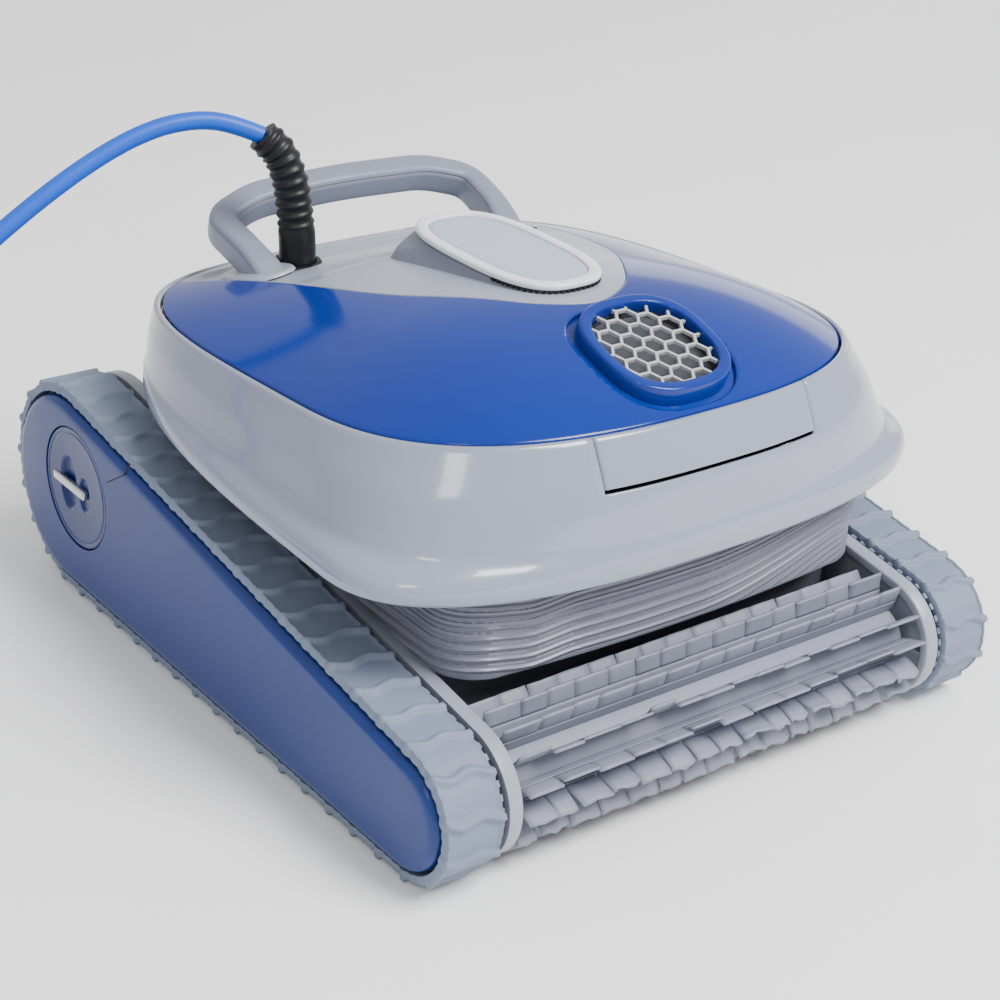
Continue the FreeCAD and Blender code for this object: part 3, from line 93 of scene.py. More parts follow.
def surface(name, colour, roughness, spread=0.06, grain=180.0, bump=0.05, mottle=0.05, coat=0.0,
            metallic=0.0, stretch=(1, 1, 1), shine=0.5):
    """A moulded or rubber surface: fine grain in its bump and roughness, soft mottling in its colour."""
    material = bpy.data.materials.new(name)
    material.use_nodes = True
    tree = material.node_tree
    add = tree.nodes.new
    link = tree.links.new
    shader = set_inputs(tree.nodes["Principled BSDF"], {
        "Metallic": metallic, "Coat Weight": coat, "Specular IOR Level": shine, "Coat Roughness": 0.04})
    place = add("ShaderNodeTexCoord")
    scale = set_inputs(add("ShaderNodeMapping"), {"Scale": stretch})
    link(place.outputs["Object"], scale.inputs["Vector"])

    fine = set_inputs(add("ShaderNodeTexNoise"), {"Scale": grain, "Detail": 6.0})
    link(scale.outputs["Vector"], fine.inputs["Vector"])

    broad = set_inputs(add("ShaderNodeTexNoise"), {"Scale": 9.0, "Detail": 4.0})
    link(scale.outputs["Vector"], broad.inputs["Vector"])

    tint = add("ShaderNodeValToRGB")
    for stop, position, change in zip(tint.color_ramp.elements, (0.3, 0.7), (1 - mottle, 1 + mottle)):
        stop.position = position
        stop.color = [min(1.0, value * change) for value in colour[:3]] + [1]
    link(broad.outputs["Fac"], tint.inputs["Fac"])
    link(tint.outputs["Color"], shader.inputs["Base Color"])

    rough = set_inputs(add("ShaderNodeMapRange"), {
        "To Min": max(0.02, roughness - spread), "To Max": min(1.0, roughness + spread)})
    link(fine.outputs["Fac"], rough.inputs["Value"])
    link(rough.outputs["Result"], shader.inputs["Roughness"])

    relief = set_inputs(add("ShaderNodeBump"), {"Strength": bump, "Distance": 0.0006})
    link(fine.outputs["Fac"], relief.inputs["Height"])
    link(relief.outputs["Normal"], shader.inputs["Normal"])
    return material


# Name, colour, then roughness, its spread, grain, bump and mottling, then what else differs.
FINISHES = (
    ("cover_blue", (13, 43, 129), (0.13, 0.03, 900, 0.004, 0.04), {"coat": 0.06, "shine": 0.3}),
    ("side_blue", (23, 48, 112), (0.30, 0.04, 900, 0.006, 0.05), {"coat": 0.06, "shine": 0.3}),
    ("lock_blue", (20, 42, 101), (0.24, 0.04, 900, 0.006, 0.05), {"coat": 0.1, "shine": 0.35}),
    ("latch_blue", (26, 56, 128), (0.35, 0.06, 240, 0.05), {}),
    ("shell", (133, 139, 157), (0.18, 0.04, 900, 0.005, 0.02), {"coat": 0.4}),
    ("deck", (146, 152, 166), (0.34, 0.06, 320, 0.06, 0.02), {"coat": 0.15}),
    ("handle", (119, 124, 141), (0.38, 0.06, 420, 0.12, 0.03), {}),
    ("cap_white", (222, 223, 230), (0.25, 0.05, 300, 0.02, 0.015), {"coat": 0.2}),
    ("cap_light", (170, 175, 198), (0.45, 0.06, 520, 0.10, 0.02), {}),
    ("grille", (169, 171, 174), (0.30, 0.05, 300, 0.03, 0.03), {}),
    ("pedestal", (113, 118, 132), (0.36, 0.06, 320, 0.06, 0.03), {}),
    # Painted shade: dark grey for the inside of the outlet under the grille.
    ("throat_shade", (53, 55, 62), (0.6, 0.06, 320, 0.06, 0.03), {}),
    ("belt", (112, 123, 143), (0.62, 0.08, 300, 0.25, 0.05), {}),
    ("brush_rubber", (127, 130, 145), (0.55, 0.08, 260, 0.22, 0.06), {}),
    ("frame", (143, 147, 159), (0.36, 0.06, 320, 0.07, 0.03), {}),
    ("hull", (88, 90, 100), (0.36, 0.06, 320, 0.07, 0.04), {}),
    ("ridge", (110, 112, 126), (0.30, 0.05, 320, 0.04, 0.03), {}),
    ("wheel", (92, 97, 109), (0.50, 0.06, 300, 0.10, 0.05), {}),
    ("bush", (184, 185, 183), (0.42, 0.05, 300, 0.05, 0.03), {}),
    ("tray", (169, 172, 177), (0.50, 0.06, 300, 0.08, 0.03), {}),
    ("duct", (53, 56, 63), (0.50, 0.06, 300, 0.08, 0.05), {}),
    ("motor", (51, 53, 56), (0.38, 0.06, 420, 0.15, 0.05), {}),
    ("motor_case", (60, 62, 68), (0.42, 0.06, 300, 0.08, 0.05), {}),
    ("valve_rubber", (41, 42, 44), (0.65, 0.08, 300, 0.2, 0.05), {}),
    ("boot", (16, 16, 19), (0.42, 0.08, 420, 0.18, 0.10), {"shine": 0.3}),
    ("cable", (21, 82, 193), (0.40, 0.05, 420, 0.08, 0.04), {"shine": 0.3}),
    ("steel", (167, 168, 170), (0.28, 0.08, 90, 0.06, 0.05), {"metallic": 1.0, "stretch": (0.05, 1, 1)}),
    ("silver", (201, 202, 202), (0.18, 0.05, 200, 0.03, 0.03), {"metallic": 0.85}),
    # Painted shade: a near-black finish put on seams and slots in place of the shade inside them.
    ("painted_gap_shade", (12, 13, 17), (0.8, 0.05, 200, 0.05, 0.05), {}),
)


def make_materials():
    """One material for each of the record's slots, and a few for details."""
    return {name: surface(name, srgb(*colour), *grain, **extra) for name, colour, grain, extra in FINISHES}


# ---- mesh helpers

def finish_piece(name, mesh, body, slot, material=None, replaces=(), sharp=40.0):
    """Puts a mesh on a body, shades it smooth away from its sharp edges, and gives it a material."""
    piece = add_object(name, mesh)
    mesh.materials.append(MATERIALS[material or slot])
    mesh.polygons.foreach_set("use_smooth", [True] * len(mesh.polygons))
    mesh.set_sharp_from_angle(angle=math.radians(sharp))
    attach(piece, body)
    if replaces:
        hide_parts(*replaces)
    return piece


def mesh_from(name, points, faces):
    mesh = bpy.data.meshes.new(name)
    mesh.from_pydata([tuple(MM * float(value) for value in point) for point in points], [], faces)
    mesh.update()
    return mesh


def orient(mesh, outward=True):
    """Joins doubled points and turns all faces one way. With outward, that way is off the mesh's middle."""
    work = bmesh.new()
    work.from_mesh(mesh)
    bmesh.ops.remove_doubles(work, verts=work.verts, dist=1e-6)
    bmesh.ops.recalc_face_normals(work, faces=work.faces)
    if outward:
        middle = sum((vertex.co for vertex in work.verts), Vector()) / len(work.verts)
        lean = sum((face.calc_center_median() - middle).dot(face.normal) * face.calc_area()
                   for face in work.faces)
        if lean < 0:
            bmesh.ops.reverse_faces(work, faces=work.faces)
    work.to_mesh(mesh)
    work.free()
    return mesh


def face_up(mesh, up=(0, 0, 1)):
    """Turns an open sheet so that its faces look up, or another way."""
    if sum(face.normal.dot(up) for face in mesh.polygons) < 0:
        mesh.flip_normals()
    return mesh


def grid_faces(rows, columns, closed=True, keep=None):
    """Quads between rows of points. keep(row, column) says which cells stay."""
    faces = []
    last = columns if closed else columns - 1
    for row in range(rows - 1):
        for column in range(last):
            if keep and not keep(row, column):
                continue
            after = (column + 1) % columns
            a = row * columns + column
            b = row * columns + after
            faces.append((a, b, b + columns, a + columns))
    return faces


def flat(rings):
    """All points of a list of rings, in one list."""
    return [point for ring in rings for point in ring]


def loft(name, rings, body, slot, material=None, replaces=(), caps=(True, True), sharp=40.0):
    """A skin over rings that all have the same number of points."""
    count = len(rings[0])
    faces = grid_faces(len(rings), count)
    if caps[0]:
        faces.append(tuple(reversed(range(count))))
    if caps[1]:
        faces.append(tuple(range((len(rings) - 1) * count, len(rings) * count)))
    mesh = orient(mesh_from(name, flat(rings), faces))
    return finish_piece(name, mesh, body, slot, material, replaces, sharp)


def thicken(piece, thickness, offset=-1.0):
    solid = piece.modifiers.new("thickness", "SOLIDIFY")
    solid.thickness = thickness * MM
    solid.offset = offset
    return piece


def round_edges(piece, width, segments=2):
    bevel = piece.modifiers.new("edges", "BEVEL")
    bevel.width = width * MM
    bevel.segments = segments
    bevel.limit_method = "ANGLE"
    bevel.angle_limit = math.radians(35)
    bevel.harden_normals = False
    return piece


# The faces between two outlines of four corners each.
PRISM = [(0, 1, 2, 3), (7, 6, 5, 4)] + [(k, k + 4, (k + 1) % 4 + 4, (k + 1) % 4) for k in range(4)]


def block(low, high):
    """The corners and faces of an upright block."""
    points = [(x, y, z) for x in (low[0], high[0]) for y in (low[1], high[1]) for z in (low[2], high[2])]
    faces = [(0, 1, 3, 2), (4, 6, 7, 5), (0, 4, 5, 1), (2, 3, 7, 6), (0, 2, 6, 4), (1, 5, 7, 3)]
    return points, faces


class Pile:
    """Gathers many small shapes into one mesh."""

    def __init__(self):
        self.points = []
        self.faces = []

    def add(self, points, faces):
        start = len(self.points)
        self.points += [tuple(point) for point in points]
        self.faces += [tuple(index + start for index in face) for face in faces]

    def piece(self, name, body, slot, material=None, replaces=(), sharp=40.0):
        mesh = mesh_from(name, self.points, self.faces)
        return finish_piece(name, orient(mesh, outward=False), body, slot, material, replaces, sharp)


# ---- outlines

def power_point(half, long, power, turn):
    across = math.cos(turn)
    along = math.sin(turn)
    return (half * math.copysign(abs(across) ** (2 / power), across),
            long * math.copysign(abs(along) ** (2 / power), along))


def power_ring(half, long, power, count):
    """A closed outline in even turns, as (x, y)."""
    return [power_point(half, long, power, 2 * math.pi * step / count) for step in range(count)]


def circle(radius, count):
    turns = [2 * math.pi * step / count for step in range(count)]
    return [(radius * math.cos(turn), radius * math.sin(turn)) for turn in turns]


def round_ring(x, centre, radius, count):
    """A circle in a plane across X."""
    return [(x, centre[0] + a, centre[1] + b) for a, b in circle(radius, count)]


def oval_ring(half, long, mid_y, power, level, count):
    """A level ring with the outline of an oval."""
    return [(x, mid_y + y, level) for x, y in power_ring(half, long, power, count)]


def on_circle(centre, radius, angle):
    """A place round a centre, as (y, z)."""
    return (centre[0] + radius * math.cos(angle), centre[1] + radius * math.sin(angle))


# Wheel axles, as (y, z).
REAR_WHEEL = (169.0, 70.0)
FRONT_WHEEL = (-197.0, 42.0)


class Belt:
    """The closed line round two wheels, measured by the run along it."""

    def __init__(self, rear_radius, front_radius):
        self.rear = rear_radius
        self.front = front_radius
        dy = FRONT_WHEEL[0] - REAR_WHEEL[0]
        dz = FRONT_WHEEL[1] - REAR_WHEEL[1]
        length = math.hypot(dy, dz)
        heading = math.atan2(dz, dy)
        lean = math.acos((rear_radius - front_radius) / length)
        self.top = (heading - lean) % (2 * math.pi)
        self.bottom = (heading + lean) % (2 * math.pi)
        self.straight = math.sqrt(length ** 2 - (rear_radius - front_radius) ** 2)
        self.front_arc = front_radius * (self.bottom - self.top)
        self.rear_arc = rear_radius * (2 * math.pi - self.bottom + self.top)
        self.whole = 2 * self.straight + self.front_arc + self.rear_arc

    def at(self, run, lift=0.0):
        """The point at a run from the rear end of the top straight, lifted outwards."""
        run %= self.whole
        if run < self.straight:
            angle, share, near, far = self.top, run / self.straight, 0, 1
        elif run < self.straight + self.front_arc:
            angle = self.top + (run - self.straight) / self.front
            return on_circle(FRONT_WHEEL, self.front + lift, angle)
        elif run < 2 * self.straight + self.front_arc:
            share = (run - self.straight - self.front_arc) / self.straight
            angle, near, far = self.bottom, 1, 0
        else:
            angle = self.bottom + (run - 2 * self.straight - self.front_arc) / self.rear
            return on_circle(REAR_WHEEL, self.rear + lift, angle)
        ends = [on_circle(REAR_WHEEL, self.rear + lift, angle), on_circle(FRONT_WHEEL, self.front + lift, angle)]
        return tuple(a + (b - a) * share for a, b in zip(ends[near], ends[far]))


def capsule(rear_radius, front_radius, x, per_arc=40):
    """A ring in a plane across X with the outline of a belt."""
    line = Belt(rear_radius, front_radius)
    ring = []
    for centre, radius, first, last in ((REAR_WHEEL, rear_radius, line.bottom - 2 * math.pi, line.top),
                                        (FRONT_WHEEL, front_radius, line.top, line.bottom)):
        for step in range(per_arc + 1):
            ring.append((x, *on_circle(centre, radius, first + (last - first) * step / per_arc)))
    return ring


# ---- tracks

SIDE_NAME = {-1: "left", 1: "right"}
RIB_COUNT = 45
BELT_REAR, BELT_FRONT = 67.0, 39.0
BELT_THICK = 4.5
BELT_WIDE = 37.0
BELT_INNER_X = 163.0
RIB_PHASE = {-1: 1.313, 1: 13.020}


def smooth_step(value):
    value = min(1.0, max(0.0, value))
    return value * value * (3 - 2 * value)


def rib_profile(gap):
    """Height of a rib, 0 to 1, at a distance in millimetres from its middle."""
    return 1.0 - smooth_step((abs(gap) - 1.0) / 2.2)


def make_belt(side):
    """A rubber belt with wavy cross ribs, a toothed outer edge and a raised strip along each edge."""
    name = SIDE_NAME[side]
    line = Belt(BELT_REAR, BELT_FRONT)
    pitch = line.whole / RIB_COUNT
    samples = 22
    rows = RIB_COUNT * samples
    border = [0.0, 0.0, 0.0, 0.8, 2.2, 3.0]
    across = border + [3.0 + 31.0 * k / 18 for k in range(1, 18)]
    across += [BELT_WIDE - reach for reach in reversed(border)]
    last = len(across) - 1
    depth = {0: -BELT_THICK, 1: -2.4, 2: -0.9, last - 2: -0.9, last - 1: -2.4, last: -BELT_THICK}
    points = []
    for row in range(rows):
        run = row * pitch / samples
        for column, reach in enumerate(across):
            world_x = reach if side > 0 else BELT_WIDE - reach
            wave = 1.7 * math.sin(2 * math.pi * (world_x - 4) / 25.0) + 0.10 * (world_x - BELT_WIDE / 2)
            phase = ((run - wave) / pitch - RIB_PHASE[side]) % 1.0
            gap = (phase - 1.0 if phase > 0.5 else phase) * pitch
            rib = rib_profile(gap)
            strip = 0.7 * (1 - smooth_step((min(reach, BELT_WIDE - reach) - 2.0) / 1.2))
            lift = max(2.9 * rib, strip)
            outer = reach > BELT_WIDE - 2.5
            if column in depth:
                lift = depth[column] if abs(depth[column]) > 1 else max(depth[column], 2.6 * rib - 0.9)
            x = BELT_INNER_X + reach
            if outer or reach < 1.0:
                scallop = 0.9 - 0.9 * max(rib_profile(gap * 0.8), 0.45 * rib_profile(abs(gap) - pitch * 0.33))
                x += -scallop if outer else scallop
            y, z = line.at(run, lift)
            points.append((side * x, y, max(z, 0.02)))
    columns = len(across)
    faces = []
    for row in range(rows):
        here, after = row * columns, (row + 1) % rows * columns
        for column in range(columns):
            beside = (column + 1) % columns
            faces.append((here + column, here + beside, after + beside, after + column))
    mesh = orient(mesh_from("belt_" + name, points, faces), outward=False)
    finish_piece("belt_ribbed_" + name, mesh, "body", "belt", replaces=["track_belt_" + name], sharp=60)

    lugs = Pile()
    for index in range(3 * RIB_COUNT):
        run = index * pitch / 3
        corners = [line.at(run + step, lift)
                   for step, lift in ((0.0, -2.2), (3.8, -2.2), (3.8, -4.4), (0.0, -4.4))]
        near = [(side * (BELT_INNER_X + 0.5), y, z) for y, z in corners]
        far = [(side * (BELT_INNER_X - 1.6), y, z) for y, z in corners]
        lugs.add(near + far, PRISM)
    lugs.piece("belt_lugs_" + name, "body", "belt", sharp=30)


# Rims of the side frames, as (inset from the belt line, x).
FRAME_RIM = ((0.0, 159.0), (0.0, 151.0), (0.4, 150.3), (1.1, 150.0), (4.9, 150.0), (5.6, 150.3), (6.0, 151.0),
             (6.0, 155.0))
FRAME_REAR, FRAME_FRONT = 66.0, 38.0


def make_side_frame(side):
    name = SIDE_NAME[side]
    rings = [capsule(FRAME_REAR - inset, FRAME_FRONT - inset, side * x) for inset, x in FRAME_RIM]
    loft("frame_rim_" + name, rings, "body", "frame", replaces=["side_frame_" + name])
    ribs = Pile()
    for wheel, near, far, count, first in ((FRONT_WHEEL, 14, 32.5, 9, 20), (REAR_WHEEL, 18, 60.5, 12, 10)):
        for index in range(count):
            ribs.add(*spoke(side, wheel, near, far, math.radians(first + 360 * index / count)))
    ribs.piece("frame_ribs_" + name, "body", "frame", sharp=30)


def spoke(side, centre, near, far, angle):
    """A thin rib in a side frame's recess that points away from an axle."""
    along = (math.cos(angle), math.sin(angle))
    beside = (-along[1] * 0.8, along[0] * 0.8)
    points = []
    for x in (side * 151.5, side * 155.4):
        for reach, hand in ((near, -1), (near, 1), (far, 1), (far, -1)):
            points.append((x, centre[0] + along[0] * reach + hand * beside[0],
                           centre[1] + along[1] * reach + hand * beside[1]))
    return points, PRISM


# ---- side covers and locks

LOCK = (151.0, 79.0)
LOCK_RADIUS = 38.8
# The lock's rim, as (inset, x): its wall, a flat bead and a groove inside it.
LOCK_RIM = ((0.0, 197.0), (0.0, 201.9), (0.35, 202.45), (1.0, 202.6), (2.4, 202.6), (2.9, 202.1), (3.5, 202.1),
            (4.0, 202.5))
DISH_DEPTH = 1.3
COVER_FACE_X = 203.0
COVER_REAR, COVER_FRONT = 60.5, 32.5
# The cover's edge, as (inset, x): a wall, a soft round and a slightly crowned face.
COVER_EDGE = ((0.0, 193.0), (0.0, 197.6), (0.35, 199.3), (1.2, 200.9), (2.6, 202.1), (4.4, 202.75), (6.5, 203.0))


def make_side_cover(side):
    name = SIDE_NAME[side]
    rings = [capsule(COVER_REAR - inset, COVER_FRONT - inset, side * x) for inset, x in COVER_EDGE]
    count = len(rings[0])
    mesh = mesh_from("side_cover_" + name, flat(rings), grid_faces(len(rings), count))
    work = bmesh.new()
    work.from_mesh(mesh)
    work.verts.ensure_lookup_table()
    hole = [work.verts.new([MM * value for value in spot])
            for spot in round_ring(side * COVER_FACE_X, LOCK, LOCK_RADIUS + 0.7, 96)]
    rim = work.verts[(len(rings) - 1) * count:len(rings) * count]
    edges = []
    for loop in (list(rim), hole):
        for a, b in zip(loop, loop[1:] + loop[:1]):
            edges.append(work.edges.get((a, b)) or work.edges.new((a, b)))
    bmesh.ops.triangle_fill(work, use_beauty=True, use_dissolve=False, edges=edges)
    inner = [work.verts.new([MM * side * 199.0, vertex.co.y, vertex.co.z]) for vertex in hole]
    for index in range(96):
        after = (index + 1) % 96
        work.faces.new((hole[index], hole[after], inner[after], inner[index]))
    work.to_mesh(mesh)
    work.free()
    orient(mesh)
    finish_piece("cover_plate_" + name, mesh, "body", "side_blue", replaces=["side_cover_" + name], sharp=30)
    # A thin near-black strip along the cover's seam: painted shade in place of the shaded groove.
    seam = Pile()
    first, middle, last = (109.5, 100.5), (88.5, 114.0), (80.5, 124.6)
    for a, b in ((first, middle), (middle, last)):
        length = math.dist(a, b)
        beside = (-(b[1] - a[1]) / length * 0.35, (b[0] - a[0]) / length * 0.35)
        ring = [(side * x, p[0] + hand * beside[0], p[1] + hand * beside[1])
                for x in (202.6, 203.04) for p, hand in ((a, -1), (a, 1), (b, 1), (b, -1))]
        seam.add(ring, PRISM)
    seam.piece("cover_seam_" + name, "body", "side_blue", "painted_gap_shade", sharp=30)
    make_lock(side)


def make_lock(side):
    """The quarter-turn lock: a rimmed, dished disc with a finger pocket each side of a bright grip bar."""
    name = SIDE_NAME[side]
    rings = [round_ring(side * x, LOCK, LOCK_RADIUS - inset, 120) for inset, x in LOCK_RIM]
    dish = LOCK_RADIUS - LOCK_RIM[-1][0]
    for step in range(1, 40):
        radius = dish * (1 - step / 40)
        ring = []
        for _, y, z in round_ring(0.0, LOCK, radius, 120):
            sag = DISH_DEPTH * (1 - (radius / dish) ** 2) + pocket_depth(y, z)
            ring.append((side * (LOCK_RIM[-1][1] - sag), y, z))
        rings.append(ring)
    loft("lock_disc_" + name, rings, "lock_" + name, "lock_blue", replaces=["side_lock_" + name],
         caps=(False, True), sharp=50)
    bar = Pile()
    near, far = sorted((side * 199.4, side * 203.4))
    bar.add(*block((near, 141.0, 74.0), (far, 181.0, 80.0)))
    piece = bar.piece("lock_grip_" + name, "lock_" + name, "silver", replaces=["lock_bar_" + name], sharp=30)
    round_edges(piece, 1.3, 3)


def pocket_depth(y, z):
    """The two finger pockets beside the grip bar."""
    depth = 0.0
    for mid_y, mid_z, half_y, half_z, deep in ((163.0, 78.0, 10.0, 19.0, 3.2), (143.0, 77.0, 7.0, 12.0, 1.8)):
        reach = math.hypot((y - mid_y) / half_y, (z - mid_z) / half_z)
        depth = max(depth, deep * (1 - smooth_step((reach - 0.72) / 0.28)))
    return depth


# ---- upper shell and front flap

SEAM = {"half": 171.2, "mid": -51.0, "front": 129.0, "rear": 234.0, "front_power": 2.61, "rear_power": 3.9}
SKIRT = {"half": 202.0, "mid": -117.0, "front": 87.2, "rear": 320.0, "front_power": 2.6, "rear_power": 3.1}
SEAM_Z, SEAM_SLOPE = 204.3, -0.06
SKIRT_Z, SKIRT_SLOPE = 147.5, 0.03
RIM_WIDE = 4.5
FLAP_HALF = 75.5
FLAP_DOWN = 0.37
FLAP_GAP = 0.03
FLAP_PIN = (-174.0, 209.0)
KNUCKLE_WIDE = 16.0
SHELL_WALL = 2.6
# Share of the way from seam to skirt: (down, out at the sides, out in front).
FLANK = ((0.0, 0.0, 0.0), (0.12, 0.11, 0.22), (0.34, 0.33, 0.58), (0.5, 0.45, 0.74), (0.64, 0.56, 0.82),
         (0.745, 0.68, 0.87), (0.82, 0.9, 0.96), (0.9, 1.0, 1.0), (1.0, 0.985, 0.99))


def smooth_line(points, at, run=None):
    """Points of a smooth curve through the given points, at the given runs along it."""
    spots = np.array(points, float)
    if run is None:
        run = np.concatenate([[0], np.cumsum(np.linalg.norm(np.diff(spots, axis=0), axis=1))])
    slope = np.gradient(spots, run, axis=0)
    out = []
    for value in at:
        index = max(0, min(len(run) - 2, int(np.searchsorted(run, value, side="right")) - 1))
        span = run[index + 1] - run[index]
        t = (value - run[index]) / span
        out.append((2 * t ** 3 - 3 * t ** 2 + 1) * spots[index] + (t ** 3 - 2 * t ** 2 + t) * span * slope[index]
                   + (-2 * t ** 3 + 3 * t ** 2) * spots[index + 1] + (t ** 3 - t ** 2) * span * slope[index + 1])
    return np.array(out)


def even_line(points, count):
    """A smooth line through points in even steps."""
    spots = np.array(points, float)
    length = np.linalg.norm(np.diff(spots, axis=0), axis=1).sum()
    return smooth_line(points, np.linspace(0, length, count))


def shell_form(down, out, front_out, grow=0.0, lift=0.0):
    """The sizes and plane of one ring of the shell."""
    form = {}
    for key in SEAM:
        form[key] = SEAM[key] + (SKIRT[key] - SEAM[key]) * out
    tip = (SEAM["mid"] - SEAM["front"]) * (1 - front_out) + (SKIRT["mid"] - SKIRT["front"]) * front_out
    form["front"] = form["mid"] - tip + RIM_WIDE * (1 - front_out) + grow
    for key in ("half", "rear"):
        form[key] += RIM_WIDE * (1 - out) + grow
    form["z"] = SEAM_Z + (SKIRT_Z - SEAM_Z) * down + lift
    form["slope"] = SEAM_SLOPE + (SKIRT_SLOPE - SEAM_SLOPE) * down
    return form


def front_y(form, x):
    share = min(1.0, abs(x) / form["half"])
    return form["mid"] - form["front"] * (1 - share ** form["front_power"]) ** (1 / form["front_power"])


def form_point(form, turn):
    """A place on the outline of a ring of the shell, as (x, y)."""
    end = "rear" if math.sin(turn) > 0 else "front"
    x, y = power_point(form["half"], form[end], form[end + "_power"], turn)
    return (x, form["mid"] + y)


def form_ring(form, split, around, front):
    """A ring whose points are even in X between -split and split in front, and even in angle elsewhere."""
    start = math.acos((split / form["half"]) ** (form["front_power"] / 2))
    ring = []
    for step in range(around + 1):
        x, y = form_point(form, -start + (math.pi + 2 * start) * step / around)
        ring.append((x, y, form["z"] + form["slope"] * y))
    for step in range(1, front):
        x = -split + 2 * split * step / front
        y = front_y(form, x)
        ring.append((x, y, form["z"] + form["slope"] * y))
    return ring


def flank_stations(steps):
    """Rings of the flank at the given shares of the way down."""
    outs = smooth_line([point[1:] for point in FLANK], steps, run=np.array([point[0] for point in FLANK]))
    return [(down, out, front_out, 0.0, 0.0) for down, (out, front_out) in zip(steps, outs)]


def make_shell():
    """The grey shell, open at the flap, with a rolled lip at the seam and a turned-in lower edge."""
    lip = [(0.0, 0.0, 0.0, -3.2, -7.0), (0.0, 0.0, 0.0, -3.2, -0.9), (0.0, 0.0, 0.0, -2.6, -0.1),
           (0.0, 0.0, 0.0, -0.9, 0.0), (0.0, 0.0, 0.0, -0.15, -0.5)]
    steps = sorted([0.02 + 0.98 * k / 48 for k in range(49)] + [FLAP_DOWN])
    hem = [FLANK[-1] + (-0.7, -0.9), FLANK[-1] + (-2.2, -1.0)]
    stations = lip + flank_stations(steps) + hem
    around, front = 220, 50
    rings = [form_ring(shell_form(*station), FLAP_HALF, around, front) for station in stations]
    count = len(rings[0])
    flap_row = next(index for index, station in enumerate(stations) if station[0] == FLAP_DOWN)

    def stays(row, column):
        return not (row < flap_row and column >= around)

    mesh = orient(mesh_from("shell_skin", flat(rings), grid_faces(len(rings), count, keep=stays)))
    shell = finish_piece("shell_skin", mesh, "body", "shell", replaces=["upper_shell"], sharp=50)
    thicken(shell, SHELL_WALL)
    make_flap(lip, steps)


def make_flap(lip, steps):
    """The front flap: the piece of flank that the shell leaves out, with three hinge knuckles."""
    half = FLAP_HALF - 0.7
    steps = [down for down in steps if down < FLAP_DOWN - FLAP_GAP] + [FLAP_DOWN - FLAP_GAP]
    rows = []
    for station in lip + flank_stations(steps):
        form = shell_form(*station)
        rows.append([(x, front_y(form, x), form["z"] + form["slope"] * front_y(form, x))
                     for x in np.linspace(-half, half, 60)])
    mesh = mesh_from("flap_leaf", flat(rows), grid_faces(len(rows), 60, closed=False))
    if mesh.polygons[len(mesh.polygons) // 2].normal.y > 0:
        mesh.flip_normals()
    flap = finish_piece("flap_leaf", mesh, "flap", "shell", replaces=["front_flap"], sharp=50)
    thicken(flap, SHELL_WALL)
    hinge = Pile()
    for near in (-50.0, -8.0, 34.0):
        far = near + KNUCKLE_WIDE
        knuckle = round_ring(near, FLAP_PIN, 2.6, 20) + round_ring(far, FLAP_PIN, 2.6, 20)
        hinge.add(knuckle, grid_faces(2, 20) + [tuple(range(20)), tuple(range(39, 19, -1))])
        hinge.add(*block((near, -183.0, 204.4), (far, FLAP_PIN[0], 207.2)))
    hinge.piece("flap_hinge", "flap", "shell", sharp=30)


# ---- domed top

DOME_RISE, DOME_RISE_SLOPE, DOME_POWER = 36.0, -0.07, 2.5
DOME_MID = 1.5
OUTLET = {"half": 33.2, "long": 31.5, "y": -138.0, "z": 240.0, "slope": 0.328, "power": 2.64}
COLLAR_WALL = 6.0
# The groove round the collar, and how far from the collar's middle its foot lies on average.
MOAT = 5.0
COLLAR_MEAN = 38.0
# Where the deck's outline meets the seam.
DECK_CORNER_X = 121.0
DECK_CORNER_TURN = math.acos((DECK_CORNER_X / SEAM["half"]) ** (SEAM["rear_power"] / 2))


def dome_share(x, y):
    """How far a place lies from the top's middle (0) to the seam (1)."""
    x = np.abs(np.asarray(x, float))
    y = np.asarray(y, float)
    low = np.full(x.shape, 1e-3)
    high = np.full(x.shape, 1.6)
    for _ in range(40):
        share = (low + high) / 2
        mid = DOME_MID + (SEAM["mid"] - DOME_MID) * share
        behind = y > mid
        power = np.where(behind, SEAM["rear_power"], SEAM["front_power"])
        long = np.where(behind, SEAM["rear"], SEAM["front"])
        value = (x / (SEAM["half"] * share)) ** power + (np.abs(y - mid) / (long * share)) ** power
        outside = value > 1
        low = np.where(outside, share, low)
        high = np.where(outside, high, share)
    return (low + high) / 2


def dome_height(x, y):
    rise = 1 - dome_share(x, y) ** DOME_POWER
    return SEAM_Z + DOME_RISE * rise + (SEAM_SLOPE + DOME_RISE_SLOPE * rise) * np.asarray(y, float)


COLLAR_MID = OUTLET["y"] + 3.0


def outlet_outline(grow):
    """The outline of the outlet's opening, grown outwards, as (x, y)."""
    return power_ring(OUTLET["half"] + grow, OUTLET["long"] + grow, OUTLET["power"], 120)


def collar_reach(x, y):
    """1 on the foot of the outlet collar, more outside it."""
    half = OUTLET["half"] + COLLAR_WALL
    long = OUTLET["long"] + COLLAR_WALL
    power = OUTLET["power"]
    return ((np.abs(x) / half) ** power + (np.abs(y - COLLAR_MID) / long) ** power) ** (1 / power)


DECK_EDGE = ((0, -86), (31, -73), (53, -47), (77, -8), (97, 55), (109, 110), (117, 145),
             (DECK_CORNER_X, 165.7))


def deck_edge(count):
    """The deck's front outline from its left rear end round its point to its right rear end."""
    right = [np.array(point, float) for point in DECK_EDGE]
    left = [np.array((-point[0], point[1]), float) for point in reversed(right[1:])]
    return even_line(left + right, count)


def resample(line, count):
    """The same line in even steps."""
    line = np.array(line, float)
    run = np.concatenate([[0], np.cumsum(np.linalg.norm(np.diff(line, axis=0), axis=1))])
    at = np.linspace(0, run[-1], count)
    return np.stack([np.interp(at, run, line[:, 0]), np.interp(at, run, line[:, 1])], axis=1)


